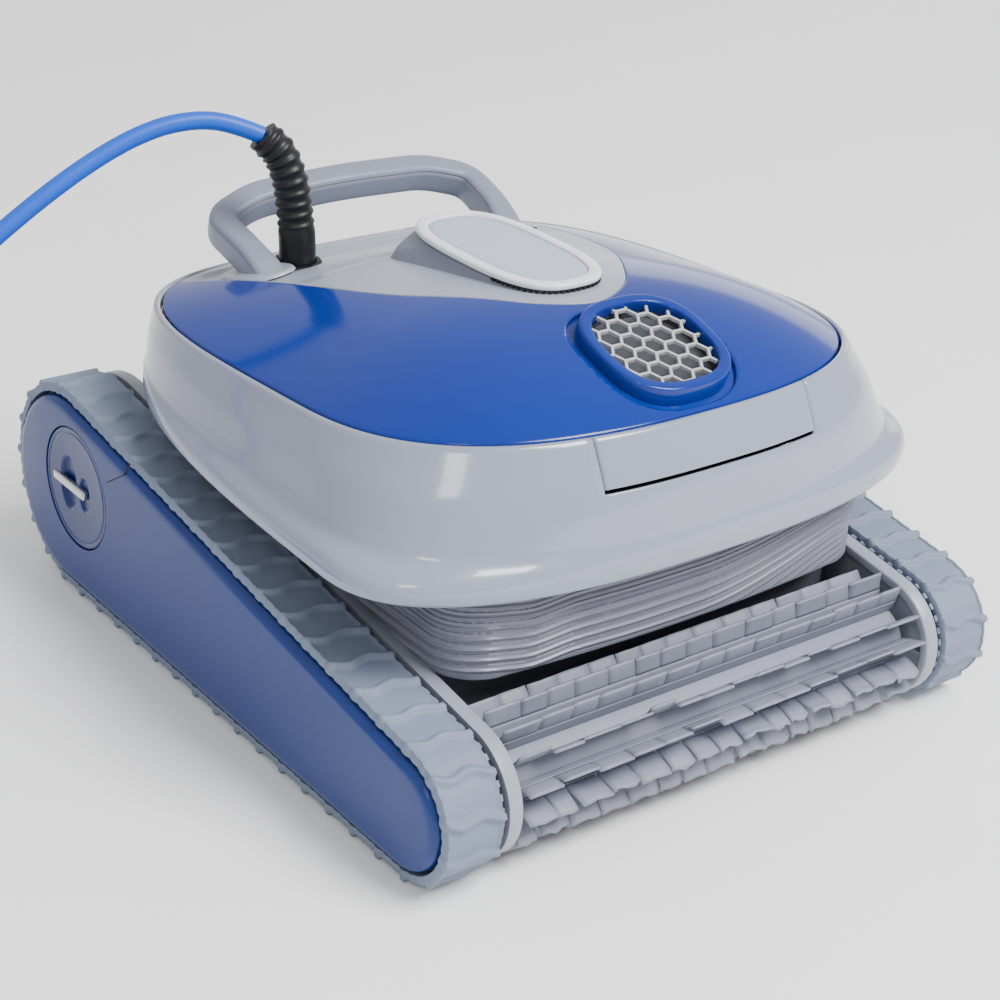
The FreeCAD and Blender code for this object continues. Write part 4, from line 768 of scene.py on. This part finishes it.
def make_cover():
    """The blue horseshoe between the deck and the seam, cut out round the outlet, and the groove there."""
    count, bands = 400, 96
    inner = deck_edge(count)
    first, sweep_turn = math.pi - DECK_CORNER_TURN, math.pi + 2 * DECK_CORNER_TURN
    outer = resample([form_point(SEAM, first + sweep_turn * k / 800) for k in range(801)], count)
    shares = [0.0, 0.0, 0.004] + [0.012 + 0.976 * k / bands for k in range(bands + 1)] + [0.996, 1.0, 1.0]
    drops = [4.0, 0.6, 0.12] + [0.0] * (bands + 1) + [0.12, 0.7, 4.5]
    edge = 1 + MOAT / COLLAR_MEAN
    away = (outer - inner) / np.maximum(np.linalg.norm(outer - inner, axis=1, keepdims=True), 1e-3)
    places = [inner + (outer - inner) * share + away * 0.35 * (1 - share) for share in shares]
    reach = np.array([collar_reach(place[:, 0], place[:, 1]) for place in places])
    gone = (reach[:-1, :-1] + reach[1:, :-1] + reach[:-1, 1:] + reach[1:, 1:]) / 4 < edge
    beside_gone = np.zeros(reach.shape, bool)
    beside_kept = np.zeros(reach.shape, bool)
    for i in (0, 1):
        for j in (0, 1):
            corner_cells = (slice(i, i + gone.shape[0]), slice(j, j + gone.shape[1]))
            beside_gone[corner_cells] |= gone
            beside_kept[corner_cells] |= ~gone
    pull = np.where(beside_gone & beside_kept, edge / np.maximum(reach, 1e-3), 1.0)
    grid = []
    for place, drop, share in zip(places, drops, pull):
        place = (place - (0, COLLAR_MID)) * share[:, None] + (0, COLLAR_MID)
        grid.append(np.column_stack([place, dome_height(place[:, 0], place[:, 1]) - drop]))
    points = np.concatenate(grid)

    def stays(row, column):
        return not gone[row, column]

    mesh = face_up(mesh_from("cover_dome", points, grid_faces(len(shares), count, closed=False, keep=stays)))
    cover = finish_piece("cover_dome", mesh, "body", "cover_blue", replaces=["top_cover"], sharp=50)
    thicken(cover, 2.0)
    rings = []
    for reach, drop in ((MOAT + 1.5, 2.3), (MOAT - 0.8, 2.6), (-2.0, 2.6), (-6.0, 2.6)):
        rings.append([(x, COLLAR_MID + y, float(dome_height(x, COLLAR_MID + y)) - drop)
                      for x, y in outlet_outline(COLLAR_WALL + reach)])
    loft("outlet_groove", rings, "body", "cover_blue", caps=(False, False), sharp=50)


def deck_relief(x, y):
    """Shallow pressed steps on the deck: a raised rear border and a well behind the cap."""
    behind = np.clip((y - 60) / 12, 0, 1)
    border = 2.2 * smooth_steps((164 - y) / 5) * behind
    well = 2.4 * smooth_steps((y - 84 - 0.10 * np.abs(x)) / 6) * smooth_steps((150 - y) / 5)
    return -border - well * smooth_steps((84 - np.abs(x)) / 8)


def smooth_steps(value):
    value = np.clip(value, 0, 1)
    return value * value * (3 - 2 * value)


def make_deck():
    count, bands = 300, 70
    edge = deck_edge(400)
    sweep_turn = math.pi - 2 * DECK_CORNER_TURN
    rear = [form_point(SEAM, DECK_CORNER_TURN + sweep_turn * k / 200) for k in range(1, 200)]
    outline = resample(list(edge) + rear + [edge[0]], count + 1)[:-1]
    middle = np.array((0.0, 10.0))
    grid = []
    stations = [(0.12 + 0.875 * k / bands, 0.0) for k in range(bands + 1)]
    for share, drop in stations + [(0.998, 0.1), (1.0, 0.6), (1.0, 4.0)]:
        place = middle + (outline - middle) * share
        fade = np.clip((1 - share) * 14, 0, 1)
        height = dome_height(place[:, 0], place[:, 1]) + deck_relief(place[:, 0], place[:, 1]) * fade - drop
        grid.append(np.column_stack([place, height]))
    points = np.concatenate(grid)
    mesh = face_up(mesh_from("deck_panel", points, grid_faces(len(grid), count)))
    deck = finish_piece("deck_panel", mesh, "body", "deck", replaces=["top_deck"], sharp=50)
    thicken(deck, 2.4)
    pads = Pile()
    for side in (-1, 1):
        add_pad(pads, side * 93.0, 119.0, 15.5, 25.0)
    pads.piece("handle_pads", "body", "deck", sharp=40)


def add_pad(pile, mid_x, mid_y, half, long):
    """A low raised pad that follows the deck."""
    rings = []
    for grow, lift in ((1.6, -1.0), (0.6, 0.5), (0.0, 0.8), (-3.0, 0.9), (-9.0, 0.9)):
        ring = np.array(power_ring(half + grow, long + grow, 2.8, 48)) + (mid_x, mid_y)
        height = dome_height(ring[:, 0], ring[:, 1]) + lift
        rings.append(np.column_stack([ring, height]))
    pile.add(np.concatenate(rings), grid_faces(len(rings), 48) + [tuple(range(4 * 48, 5 * 48))])


# ---- cap, outlet

CAP = {"half": 34.8, "long": 67.0, "y": -3.5, "z": 251.0, "power": 2.9}
# The air slots run round the cap's front, as far back as this Y.
VENTS_END = -30


def cap_ring(grow, level):
    return oval_ring(CAP["half"] + grow, CAP["long"] + grow, CAP["y"], CAP["power"], level, count=160)


def pedestal_ring(share):
    """A ring of the cap's foot. It spreads downwards, and its rear corners grow sharper."""
    half = CAP["half"] - 1.6 + 17.0 * share
    ring = []
    for step in range(160):
        turn = 2 * math.pi * step / 160
        long = CAP["long"] - 1.6 + (13.0 if math.sin(turn) < 0 else 4.0) * share
        power = CAP["power"] + (3.5 * min(1.0, 3 * share) if math.sin(turn) > 0 else 0.0)
        x, y = power_point(half, long, power, turn)
        ring.append((x * (1.0 + 0.10 * share * math.sin(turn)), CAP["y"] + y, 246.2 - 29.0 * share))
    return ring


def make_cap():
    """The oval cap: a drafted foot, a white ring with air slots under its front painted as dark shade, and a
    light plate.
    """
    rings = [cap_ring(-9.0, 246.9), cap_ring(-3.2, 246.9)]
    rings += [pedestal_ring(share) for share in np.linspace(0, 1, 24)]
    loft("cap_pedestal_body", rings, "body", "deck", "pedestal", replaces=["cap_pedestal"],
         caps=(True, False), sharp=60)
    ring = [(-7.0, 247.2), (-7.0, 250.3), (-6.6, 250.8), (-5.8, 251.0), (-1.4, 251.0), (-0.4, 250.6),
            (0.0, 249.8), (0.0, 248.2), (-0.4, 247.5), (-1.2, 247.2)]
    loft("cap_ring_white", [cap_ring(*station) for station in ring], "body", "cap_white",
         replaces=["cap_ring"], caps=(False, False), sharp=70)
    panel = [(-7.3, 247.5), (-7.3, 249.5), (-7.8, 249.9), (-12.0, 250.0), (-20.0, 250.0)]
    loft("cap_panel_top", [cap_ring(*station) for station in panel], "body", "cap_light",
         replaces=["cap_panel"], caps=(False, True), sharp=50)
    # The air slots are near-black blocks: painted shade in place of open slots.
    vents = Pile()
    outline = oval_ring(CAP["half"] - 1.2, CAP["long"] - 1.2, CAP["y"], CAP["power"], 0.0, count=400)
    outline = resample(outline, 92)
    for spot, after in zip(outline, outline[1:]):
        if spot[1] > VENTS_END:
            continue
        ahead = Vector((after[0] - spot[0], after[1] - spot[1], 0)).normalized()
        away = Vector((ahead.y, -ahead.x, 0))
        base = Vector((spot[0], spot[1], 0))
        corners = [base + ahead * a + away * b for a, b in ((0, -1), (2.4, -1), (2.4, 1.3), (0, 1.3))]
        points = [(p.x, p.y, z) for z in (245.6, 247.4) for p in corners]
        vents.add(points, PRISM)
    vents.piece("cap_vent_slots", "body", "deck", "painted_gap_shade", sharp=30)


def collar_ring(grow, drop):
    """A ring of the outlet collar, in the plane of its mouth, moved down along its axis."""
    tilt = math.sqrt(1 + OUTLET["slope"] ** 2)
    return [(x, OUTLET["y"] + y + drop * OUTLET["slope"] / tilt,
             OUTLET["z"] + OUTLET["slope"] * y - drop / tilt) for x, y in outlet_outline(grow)]


def make_outlet():
    stations = [(7.6, 24.0), (7.0, 14.0), (6.4, 5.0), (6.1, 1.2), (5.8, 0.5), (5.2, 0.1), (4.4, 0.0), (1.0, 0.0),
                (0.4, 0.2), (0.1, 0.7), (0.0, 2.0), (-0.2, 24.0)]
    loft("outlet_collar_wall", [collar_ring(*station) for station in stations], "body", "cover_blue",
         replaces=["outlet_collar"], caps=(False, False), sharp=60)
    # The throat's walls and closed floor take a dark grey in place of the grille's grey: painted shade inside
    # the outlet.
    throat_shade = [(-0.4, 6.9), (-0.8, 11.0), (-6.0, 11.6), (-18.0, 11.8)]
    loft("outlet_throat", [collar_ring(*station) for station in throat_shade], "body", "grille", "throat_shade",
         caps=(False, True), sharp=50)


# ---- hull front

HULL_HALF, HULL_FRONT, HULL_ROUND, HULL_BOW = 150.0, -181.0, 28.0, 6.0


def hull_front(run):
    """A place on the hull's outline and its outward way, at a run right (+) or left (-) of its middle."""
    flat = HULL_HALF - HULL_ROUND
    side = math.copysign(1, run)
    reach = abs(run)
    arc = HULL_ROUND * math.pi / 2
    if reach <= flat:
        return (Vector((run, HULL_FRONT + HULL_BOW * (run / flat) ** 2, 0)),
                Vector((2 * HULL_BOW * run / flat ** 2, -1, 0)).normalized())
    if reach <= flat + arc:
        angle = (reach - flat) / HULL_ROUND
        away = Vector((side * math.sin(angle), -math.cos(angle), 0))
        return Vector((side * flat, HULL_FRONT + HULL_BOW + HULL_ROUND, 0)) + away * HULL_ROUND, away
    y = HULL_FRONT + HULL_BOW + HULL_ROUND + reach - flat - arc
    return Vector((side * HULL_HALF, y, 0)), Vector((side, 0, 0))


def make_hull_front():
    """The ridged front wall of the hull: thin contour ribs that wave at the left and rise at the right."""
    half = 280.0
    columns, rows = 560, 150
    points = []
    low, high = 86.6, 142.0
    for row in range(rows + 1):
        level = low + (high - low) * row / rows
        for column in range(columns + 1):
            run = -half + 2 * half * column / columns
            spot, away = hull_front(run)
            wave = 2.4 * math.sin(run / 13.0) * math.exp(-((run + 112) / 34) ** 2)
            climb = smooth_step((run - 10) / 150)
            spacing = 6.3 - 2.2 * climb
            phase = (level - low - 2.0 - wave - 24.0 * climb) / spacing
            part = phase - math.floor(phase)
            rib = math.exp(-((part - 0.5) * spacing / 0.85) ** 2)
            edge = smooth_step((level - low) / 1.5)
            reach = 0.5 + edge * (1.6 * rib + 0.9 * part) * (1.0 if phase > 0 else 0.25)
            place = spot + away * min(reach, 2.6)
            points.append((place.x, place.y, level))
    faces = grid_faces(rows + 1, columns + 1, closed=False)
    mesh = face_up(mesh_from("hull_ridges", points, faces), (0, -1, 0))
    skin = finish_piece("hull_ridges", mesh, "body", "hull", "ridge", sharp=70)
    thicken(skin, 0.8)


# ---- brush

FIN_COUNT = 14
CORE_RADIUS = 21.6
TIP_RADIUS = 40.2
BRUSH_HALF = 147.0


def fin_tab(start, width, angle, bend, root, jag, drift):
    """One slit-off tab of a fin: a thin sheet that bends and drifts sideways as it leaves the core."""
    rows = []
    steps = 6
    for step in range(steps + 1):
        share = step / steps
        turn = angle + bend * share ** 2
        row = []
        for k in range(5):
            x = start + width * k / 4 + drift * share ** 2
            x = max(-BRUSH_HALF, min(BRUSH_HALF, x))
            reach = root + (TIP_RADIUS - root) * share
            if step == steps:
                reach -= jag * (0.5 + 0.5 * math.sin(1.9 * k + 2.1 * start))
            row.append((x, *on_circle(FRONT_WHEEL, reach, turn)))
        rows.append(row)
    return flat(rows), grid_faces(steps + 1, 5, closed=False)


def make_brush():
    """The rubber brush: straight fins slit into tabs. The tabs that meet the floor are torn and bent."""
    chance = random.Random(11)
    fins = Pile()
    for index in range(FIN_COUNT):
        angle = 2 * math.pi * (index + 0.27) / FIN_COUNT
        heading = math.degrees(angle) % 360
        torn = 170 < heading < 330
        worn = 120 < heading <= 170
        share = 0.12 if torn else 0.45
        root = CORE_RADIUS + (TIP_RADIUS - CORE_RADIUS) * share
        sheet = []
        for step in range(5):
            radius = 20.6 + (root - 20.6) * step / 4
            spot = on_circle(FRONT_WHEEL, radius, angle)
            sheet.append([(x, *spot) for x in np.linspace(-BRUSH_HALF, BRUSH_HALF, 40)])
        fins.add(flat(sheet), grid_faces(5, 40, closed=False))
        x = -BRUSH_HALF
        lean = chance.uniform(-0.02, 0.02)
        while x < BRUSH_HALF - 1:
            width = chance.uniform(14, 23) if torn else chance.uniform(17, 25)
            if BRUSH_HALF - x - width < 8:
                width = BRUSH_HALF - x
            slit = chance.uniform(0.8, 2.2) if torn else 0.35
            if torn:
                bend = chance.uniform(-0.03, 0.15)
            else:
                bend = lean + chance.uniform(-0.02, 0.03) * (2.5 if worn else 1)
            drift = chance.uniform(-1.3, 1.3) if torn else 0.0
            jag = chance.uniform(0.6, 3.0) if torn else 0.2
            fins.add(*fin_tab(x + slit / 2, width - slit, angle, bend, root - 0.4, jag, drift))
            x += width
    mesh = mesh_from("brush_fins", fins.points, fins.faces)
    piece = finish_piece("brush_fin_tabs", mesh, "brush", "brush_rubber", replaces=["brush_fins"], sharp=50)
    thicken(piece, 1.3, 0.0)
    end = ((6.4, 0.0), (20.0, 0.0), (21.2, 0.6), (CORE_RADIUS, 1.6))
    sleeve = [round_ring(x - BRUSH_HALF, FRONT_WHEEL, radius, 64) for radius, x in end]
    sleeve += [round_ring(BRUSH_HALF - x, FRONT_WHEEL, radius, 64) for radius, x in reversed(end)]
    loft("brush_sleeve", sleeve, "brush", "brush_rubber", replaces=["brush_core"], caps=(False, False))


# ---- handle, strain relief, cable

HANDLE = ((88, 103, 200), (93, 127, 217.5), (95.5, 164, 228), (64, 172.5, 236), (0, 172.5, 238.5))


def rounded_path(points, per_bend=14):
    """Straight runs joined by arcs, as a list of places."""
    spots = [Vector(point) for point in points]
    path = [spots[0]]
    for before, corner, after in zip(spots, spots[1:], spots[2:]):
        reach = 0.36 * min((corner - before).length, (after - corner).length)
        enter = corner + (before - corner).normalized() * reach
        leave = corner + (after - corner).normalized() * reach
        for step in range(per_bend + 1):
            share = step / per_bend
            path.append(enter.lerp(corner, share).lerp(corner.lerp(leave, share), share))
    path.append(spots[-1])
    return path


def sweep(name, path, section, slot, up, replaces, sharp):
    """Carries a section of (out, up) points, given for each share of the way, along a path without twist."""
    rings = []
    lift = Vector(up)
    for index, spot in enumerate(path):
        before = path[max(0, index - 1)]
        after = path[min(len(path) - 1, index + 1)]
        ahead = (after - before).normalized()
        lift = (lift - ahead * lift.dot(ahead)).normalized()
        out = ahead.cross(lift)
        rings.append([spot + out * a + lift * b for a, b in section(index / (len(path) - 1))])
    return loft(name, rings, "body", slot, replaces=replaces, sharp=sharp)


def handle_section(share):
    """A rounded bar with a fine joint line on both sides. It swells a little at the feet."""
    end = max(0.0, 1 - min(share, 1 - share) / 0.12)
    ring = power_ring(8.9 + 1.6 * end ** 2, 10.4 + 0.8 * end ** 2, 4.2, 48)
    for step in (3, 21):
        x, y = ring[step]
        ring[step] = (x - math.copysign(0.7, x), y)
    return ring


def make_handle():
    right = [Vector(point) for point in HANDLE]
    points = right + [Vector((-point.x, point.y, point.z)) for point in reversed(right[:-1])]
    sweep("handle_bar", rounded_path(points), handle_section, "handle", (0, -1, 1), ["carry_handle"], 35)


RELIEF = ((-65.5, 119, 205), (-65.5, 119, 225), (-67.5, 119.7, 247), (-70.5, 121.5, 267), (-75.5, 125.5, 282),
          (-84, 130.5, 292))


def make_relief():
    """The black strain relief: a plain collar, then a ribbed flexible stretch."""
    path = [Vector(point) for point in even_line(RELIEF, 150)]

    def radius(share):
        if share < 0.36:
            return 11.3 - 0.6 * smooth_step((share - 0.30) / 0.05)
        if share > 0.975:
            return 10.2
        swell = 0.5 + 0.5 * math.cos(2 * math.pi * (share - 0.36) * 14.0)
        return 10.2 + 1.3 * swell ** 1.5 - 0.6 * (share - 0.36)

    def section(share):
        return circle(radius(share), 40)

    sweep("strain_relief_boot", path, section, "boot", (0, -1, 0), ["strain_relief"], 70)
    nut = [(15.8, 208.0), (15.8, 212.6), (15.0, 214.0), (12.5, 214.4), (11.2, 213.2)]
    rings = [[(RELIEF[0][0] + a, RELIEF[0][1] + b, z) for a, b in circle(reach, 48)] for reach, z in nut]
    loft("gland_nut", rings, "body", "boot", replaces=["cable_gland"], sharp=40)


# Route of the free cable, from the strain relief to the top of the coil.
ROUTE = ((-84, 130.5, 292), (-100, 139, 299.6), (-121, 146.6, 302.4), (-148, 151.8, 298.4), (-182, 155, 284.6),
         (-224, 156.4, 261), (-270, 158, 229), (-312, 162, 189), (-347, 169, 144), (-377, 181, 103),
         (-406, 197, 72), (-437, 212, 51), (-470, 221, 40))
COIL_MID = (-470.0, 108.0)
COIL_RADIUS = 93.0
COIL_COLUMNS, COIL_LAYERS = 5, 4
CABLE = 11.0
PLUG_END = (-455.0, -21.5, 11.0)


def coil_points(per_turn=16):
    """The coil's turns, from the outermost turn of the top layer down to the floor."""
    points = []
    turns = COIL_COLUMNS * COIL_LAYERS
    # The last turn stops half way round, where the plug's end leaves the coil.
    for index in range(1, (turns - 1) * per_turn + per_turn // 2):
        turn = index / per_turn
        whole = min(int(turn), turns - 1)
        layer, column = divmod(whole, COIL_COLUMNS)
        outward = layer % 2 == 0
        place = column if outward else COIL_COLUMNS - 1 - column
        share = smooth_step((turn - whole - 0.85) / 0.15)
        following = min(whole + 1, turns - 1)
        next_layer, next_column = divmod(following, COIL_COLUMNS)
        next_place = next_column if next_layer % 2 == 0 else COIL_COLUMNS - 1 - next_column
        column_at = place + (next_place - place) * share
        layer_at = layer + (next_layer - layer) * share
        radius = COIL_RADIUS + ((COIL_COLUMNS - 1) / 2 - column_at) * CABLE
        radius /= math.cos(math.pi / per_turn) ** 0.5
        angle = math.pi / 2 + 2 * math.pi * turn
        points.append((COIL_MID[0] + radius * math.cos(angle), COIL_MID[1] + radius * math.sin(angle),
                       CABLE * (COIL_LAYERS - layer_at - 0.5)))
    return points


def make_cable():
    points = list(ROUTE) + coil_points()
    points += [(-492.0, -9.5, 6.2), (-474.0, -18.0, 9.5), PLUG_END]
    curve = bpy.data.curves.new("cable_line", "CURVE")
    curve.dimensions = "3D"
    spline = curve.splines.new("NURBS")
    spline.points.add(len(points) - 1)
    for target, point in zip(spline.points, points):
        target.co = [MM * value for value in point] + [1.0]
    spline.order_u = 3
    spline.use_endpoint_u = True
    spline.resolution_u = 6
    curve.bevel_depth = MM * CABLE / 2
    curve.bevel_resolution = 5
    curve.use_fill_caps = True
    curve.materials.append(MATERIALS["cable"])
    cable = add_object("cable_line", curve)
    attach(cable, "body")
    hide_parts("cable_tube", "cable_coil")
    plug = make_plug()


def make_plug():
    """A round waterproof plug: a ribbed grip, a plain wider nut and a plain nose."""
    profile = [(5.6, 0.0), (7.5, 0.0), (8.0, 1.0)]
    for rib in range(6):
        at = 2.0 + rib * 3.2
        profile += [(8.0, at), (9.2, at + 0.8), (9.2, at + 2.0), (8.0, at + 2.8)]
    profile += [(9.0, 22.5), (10.9, 23.0), (10.9, 43.0), (10.2, 44.0), (9.0, 44.0), (9.0, 60.5), (8.2, 62.0),
                (6.5, 62.0), (6.5, 50.0)]
    rings = [round_ring(PLUG_END[0] + at, PLUG_END[1:], radius, 48) for radius, at in profile]
    return loft("plug_body", rings, "body", "boot", replaces=["cable_plug"], sharp=35)


# ---- stage

FLOOR_HALF = 12


def add_light(name, place, aim, wide, high, power):
    data = bpy.data.lights.new(name, "AREA")
    data.shape = "RECTANGLE"
    data.size = wide
    data.size_y = high
    data.energy = power
    light = add_object(name, data)
    light.location = place
    light.rotation_euler = (Vector(aim) - Vector(place)).to_track_quat("-Z", "Y").to_euler()


def make_stage():
    mesh = bpy.data.meshes.new("floor")
    corners = [(-FLOOR_HALF, -FLOOR_HALF, 0), (FLOOR_HALF, -FLOOR_HALF, 0), (FLOOR_HALF, FLOOR_HALF, 0),
               (-FLOOR_HALF, FLOOR_HALF, 0)]
    mesh.from_pydata(corners, [], [(0, 1, 2, 3)])
    floor = add_object("floor", mesh)
    mesh.materials.append(surface("floor_paper", (0.93, 0.93, 0.93, 1), 0.7, 0.05, 60, 0.02, 0.01))
    world = bpy.data.worlds.new("studio")
    bpy.context.scene.world = world
    world.use_nodes = True
    set_inputs(world.node_tree.nodes["Background"], {"Color": (1.0, 1.0, 1.0, 1), "Strength": 0.85})
    add_light("overhead", (0.9, -1.9, 2.9), (0, 0, 0.1), 1.6, 1.6, 215)
    add_light("key_light", (-1.6, -1.5, 1.9), (0, 0, 0.1), 0.5, 0.5, 9)
    add_light("low_right", (2.3, 1.7, 0.6), (0, 0, 0.2), 2.4, 0.8, 9)


def paint_nodes():
    """The CAD nodes that still show take the material of their own slot."""
    slots = {entry["node"]: entry["material_slot"] for entry in frame["record"]["subparts"]}
    for name, node in frame["nodes"].items():
        node.data.materials.clear()
        node.data.materials.append(MATERIALS[slots[name]])


MATERIALS = make_materials()
make_camera()
make_relief()
make_cable()
for side in (-1, 1):
    make_belt(side)
    make_side_frame(side)
    make_side_cover(side)
make_shell()
make_cover()
make_deck()
make_cap()
make_outlet()
make_hull_front()
make_brush()
make_handle()
paint_nodes()
make_stage()
